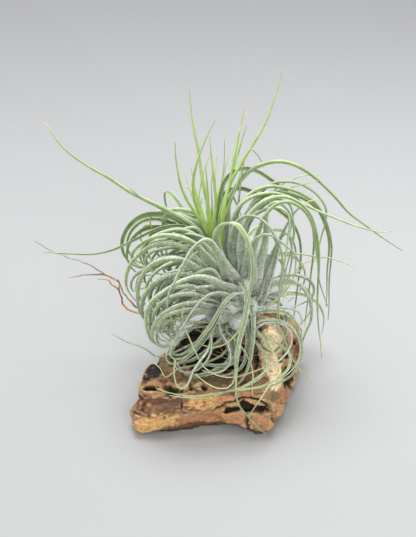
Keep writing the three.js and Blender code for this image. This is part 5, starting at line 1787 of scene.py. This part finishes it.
@dataclass(frozen=True)
class YoungHeart:
    """The bright young leaves that stand in the crown, with finer ones between them."""

    form: BladeForm = BladeForm(tip=0.3, keel=1.3, keel_tip=0.3, wrap=1.4)
    seat: float = 1.16
    between: int = 16
    mixed: tuple[float, float] = (0.25, 0.75)
    reach: tuple[float, float] = (0.45, 0.95)
    lean: tuple[float, float] = (2.0, 12.0)
    droop: float = 0.3

    def leaves(self) -> list[Leaf]:
        """The drawn leaves, then finer ones.

        The way of a finer one is mixed from two of the drawn ones, made shorter, and leans further out
        with the square of the way.

        Returns:
            The leaves.
        """
        seat = STEM.point(self.seat)
        found = []
        for row in HEART_LEAVES:
            given = np.array(row, dtype=float)
            controls = np.vstack([seat, SIGHT.points(*given.T)])
            found.append(self.form.leaf(controls, Growth.YOUNG, 1.0))
        drawn = [leaf.way for leaf in found]
        for k in range(self.between):
            a = drawn[int(draw(k, 51) * len(drawn)) % len(drawn)]
            b = drawn[int(draw(k, 52) * len(drawn)) % len(drawn)]
            way = lerp(a, b, lerp(*self.mixed, draw(k, 53)))
            way = seat + (way - seat) * lerp(*self.reach, draw(k, 54))
            t = np.linspace(0, 1, len(way))[:, None]
            angle = 2 * math.pi * draw(k, 55)
            out = np.array([math.cos(angle), math.sin(angle), -self.droop])
            lean = out * lerp(*self.lean, draw(k, 56))
            found.append(Leaf(way + lean * t**2, Growth.SHOOT, 1.0))
        return found

    def build(self, finish: LeafFinish, down: bpy.types.NodeTree) -> None:
        """Builds the heart as one piece and dresses it.

        Args:
            finish: Its colours.
            down: The group for the down.
        """
        points, faces, values = self.form.carry(self.leaves())
        material = finish.material(down)
        make_piece("young_heart", points, faces, material, values, "heart_leaves")


@dataclass(frozen=True)
class RootTuft:
    """The brown roots: a crown at the stem's foot, roots that clasp the wood, and the loose tuft."""

    width: float = 1.1
    first_wider: float = 0.4
    end: float = 0.4
    wander: float = 0.45
    knobs: float = 0.22
    sides: int = 8
    rings: int = 90
    grey_from: tuple[float, float] = (0.62, 0.75)
    mat: int = 22
    mat_start: float = 3.0
    mat_step: float = 3.0
    mat_spread: float = 1.4
    mat_sway: float = 0.35
    mat_lift: float = 0.7
    crown: tuple[float, float, float] = (11.0, 17.0, 29.0)
    crown_size: tuple[float, float, float] = (8.5, 8.0, 3.2)
    crown_rings: int = 24
    crown_around: int = 40

    def tubes(self, controls: list[Array], widths: list[float]) -> tuple[Array, Array, dict[str, Array]]:
        """Thin round roots along curves, knobbly and wavering by noise.

        Args:
            controls: Points of each root.
            widths: Width of each root at its start.

        Returns:
            Points, faces, and how far each point is into the grey ends.
        """
        ways = np.stack([evenly_along(c, self.rings) for c in controls])
        t = np.linspace(0, 1, self.rings + 1)
        ease = smooth(t * 8)[None, :, None]
        wander = np.stack([soft_noise(ways / 3.1 + 9.7 * i, 60 + i) for i in range(3)], axis=-1)
        ways = ways + self.wander * wander * ease
        along = unit(np.gradient(ways, axis=1))
        side = unit(np.cross(along, np.array([0.13, 0.4, 0.9])))
        other = np.cross(along, side)
        a = np.linspace(0, 2 * math.pi, self.sides, endpoint=False)
        radius = 0.5 * lerp(np.array(widths)[:, None], self.end, t)
        radius = radius * (1 + self.knobs * soft_noise(ways / 1.7, 71))
        ring = np.cos(a)[:, None] * side[:, :, None] + np.sin(a)[:, None] * other[:, :, None]
        rings = ways[:, :, None] + ring * radius[..., None, None]
        turning = np.where(np.arange(len(ways)) == 0, *self.grey_from)[:, None]
        grey = smooth((t - turning) / 0.2)
        values = {"grey": with_middles((grey[..., None] * np.ones(self.sides))[..., None]).ravel()}
        return with_middles(rings).reshape(-1, 3), tube_faces(len(ways), self.rings + 1, self.sides), values

    def controls(self) -> tuple[list[Array], list[float]]:
        """The points and widths of the tuft's roots and of the clasping ones.

        Clasping roots leave the crown at even angles, sway by a sine and follow the wood.

        Returns:
            Points of each root, and its width at the start.
        """
        run = np.array([[x, y, max(WOOD.top, WOOD.height_at(x, y)) + above] for x, y, above in ROOT_RUN])
        found, widths = [], []
        for i, row in enumerate(ROOT_TUFT):
            points = SIGHT.points(*np.array(row, dtype=float).T)
            found.append(np.vstack([run, points]) if i == 0 else points)
            widths.append(self.width + (self.first_wider if i == 0 else 0.0))
        for k in range(self.mat):
            turn = k / self.mat * 2 * math.pi + draw(k, 20)
            i = np.arange(6)
            r = self.mat_start + i * (self.mat_step + self.mat_spread * draw(k, 21))
            way = turn + self.mat_sway * np.sin(1.7 * i + k)
            x, y = self.crown[0] + r * np.cos(way), self.crown[1] + r * np.sin(way)
            found.append(np.column_stack([x, y, WOOD.height_at(x, y) + self.mat_lift]))
            widths.append(self.width * lerp(0.5, 1.0, draw(k, 22)))
        return found, widths

    def build(self, finish: RootFinish, weather: bpy.types.NodeTree) -> None:
        """Builds the roots as one piece and dresses them.

        Args:
            finish: Their colours.
            weather: The group for dead wood and roots.
        """
        tubes = self.tubes(*self.controls())
        ball = ball_grid(self.crown_rings, self.crown_around, 0.05)
        ball = np.array(self.crown) + ball * np.array(self.crown_size)
        ball = ball * (1 + 0.012 * rough_noise(ball / 2.2, 3, 81))[..., None]
        crown = with_middles(ball[None])[0]
        faces = tube_faces(1, self.crown_rings, self.crown_around)
        points, faces, values = joined([tubes, (crown, faces, {"grey": np.zeros(len(crown))})])
        make_piece("root_tuft", points, faces, finish.material(weather), values, "roots")


@dataclass(frozen=True)
class Softbox:
    """A square lamp aimed at the origin: its place and side in metres, and its power in watts."""

    place: tuple[float, float, float]
    size: float
    power: float

    def build(self) -> None:
        """Adds the lamp to the scene."""
        lamp = bpy.data.lights.new("softbox", "AREA")
        lamp.shape = "SQUARE"
        lamp.size = self.size
        lamp.energy = self.power
        holder = bpy.data.objects.new("softbox", lamp)
        holder.location = self.place
        holder.rotation_euler = mathutils.Vector(self.place).to_track_quat("Z", "Y").to_euler()
        bpy.context.scene.collection.objects.link(holder)


@dataclass(frozen=True)
class Studio:
    """A pale floor, darker far behind and to the left as painted shade, soft light from above and before,
    and even pale surroundings.

    Its lengths are in metres.
    """

    floor_size: float = 6.0
    floor_drop: float = 0.0001
    # Painted shade: the floor is darker to the left and far behind, where the light falls off
    left_painted_shade: Colour = paint(160, 161, 161)
    right_painted_light: Colour = paint(166, 167, 167)
    far_painted_shade: Colour = paint(139, 139, 142)
    sky: float = 0.71
    sky_tone: Colour = (0.97, 0.985, 1.0, 1.0)
    lamps: tuple[Softbox, ...] = (
        Softbox((-0.03, 0.22, 0.87), 0.42, 9.6),
        Softbox((0.1, -1.1, 0.7), 0.9, 7.6),
    )

    def floor_material(self) -> bpy.types.Material:
        """Builds the floor's matt material, whose tone changes softly from left to right and far behind as
        painted shade.

        Returns:
            The material.
        """
        material, wire, shader = new_material("pale_floor")
        parts = wire.add("ShaderNodeSeparateXYZ", {"Vector": wire.place()}).outputs
        near = wire.mix(wire.stretch(parts["X"], -0.15, 0.15), self.left_painted_shade, self.right_painted_light)
        tone = wire.mix(wire.stretch(parts["Y"], 0.08, 0.5), near, self.far_painted_shade)
        wire.tree.links.new(tone, shader.inputs["Base Color"])
        set_up(shader, {"Roughness": 0.9})
        return material

    def build(self) -> None:
        """Sets the floor, the lamps, the surroundings and plain screen colours."""
        half = self.floor_size / 2
        mesh = bpy.data.meshes.new("floor")
        corners = [(x * half, y * half, -self.floor_drop) for x, y in ((-1, -1), (1, -1), (1, 1), (-1, 1))]
        mesh.from_pydata(corners, [], [(0, 1, 2, 3)])
        mesh.materials.append(self.floor_material())
        floor = bpy.data.objects.new("floor", mesh)
        bpy.context.scene.collection.objects.link(floor)
        for lamp in self.lamps:
            lamp.build()
        world = bpy.data.worlds.new("surroundings")
        world.use_nodes = True
        sky = world.node_tree.nodes["Background"]
        set_up(sky, {"Color": self.sky_tone, "Strength": self.sky})
        bpy.context.scene.world = world
        bpy.context.scene.view_settings.view_transform = "Standard"


SILVER_FINISH = LeafFinish(
    name="silver_leaf",
    down=paint(238, 241, 232),
    sheath=paint(146, 151, 152),
    blade=paint(138, 155, 94),
    green=paint(124, 152, 68),
    channel_and_shade=paint(98, 124, 58),
    tip=paint(190, 192, 116),
    cover=0.88,
    sheen=0.25,
    roughness=0.62,
)
BRIGHT_FINISH = LeafFinish(
    name="bright_leaf",
    down=paint(214, 226, 196),
    sheath=paint(178, 214, 86),
    blade=paint(146, 172, 90),
    green=paint(134, 158, 78),
    channel_and_shade=paint(112, 164, 52),
    tip=paint(186, 172, 120),
    cover=0.35,
    sheen=0.2,
    roughness=0.5,
)


def main() -> None:
    """Builds the plant, the wood and the studio in order."""
    logging.basicConfig(level=logging.INFO, format="%(name)s: %(message)s")
    SIGHT.place_camera()
    Studio().build()
    weather, down = weather_group(), down_group()
    WOOD.build(WoodFinish(), weather)
    LeafRosette().build(SILVER_FINISH, down)
    YoungHeart().build(BRIGHT_FINISH, down)
    RootTuft().build(RootFinish(), weather)


if __name__ == "__main__":
    main()
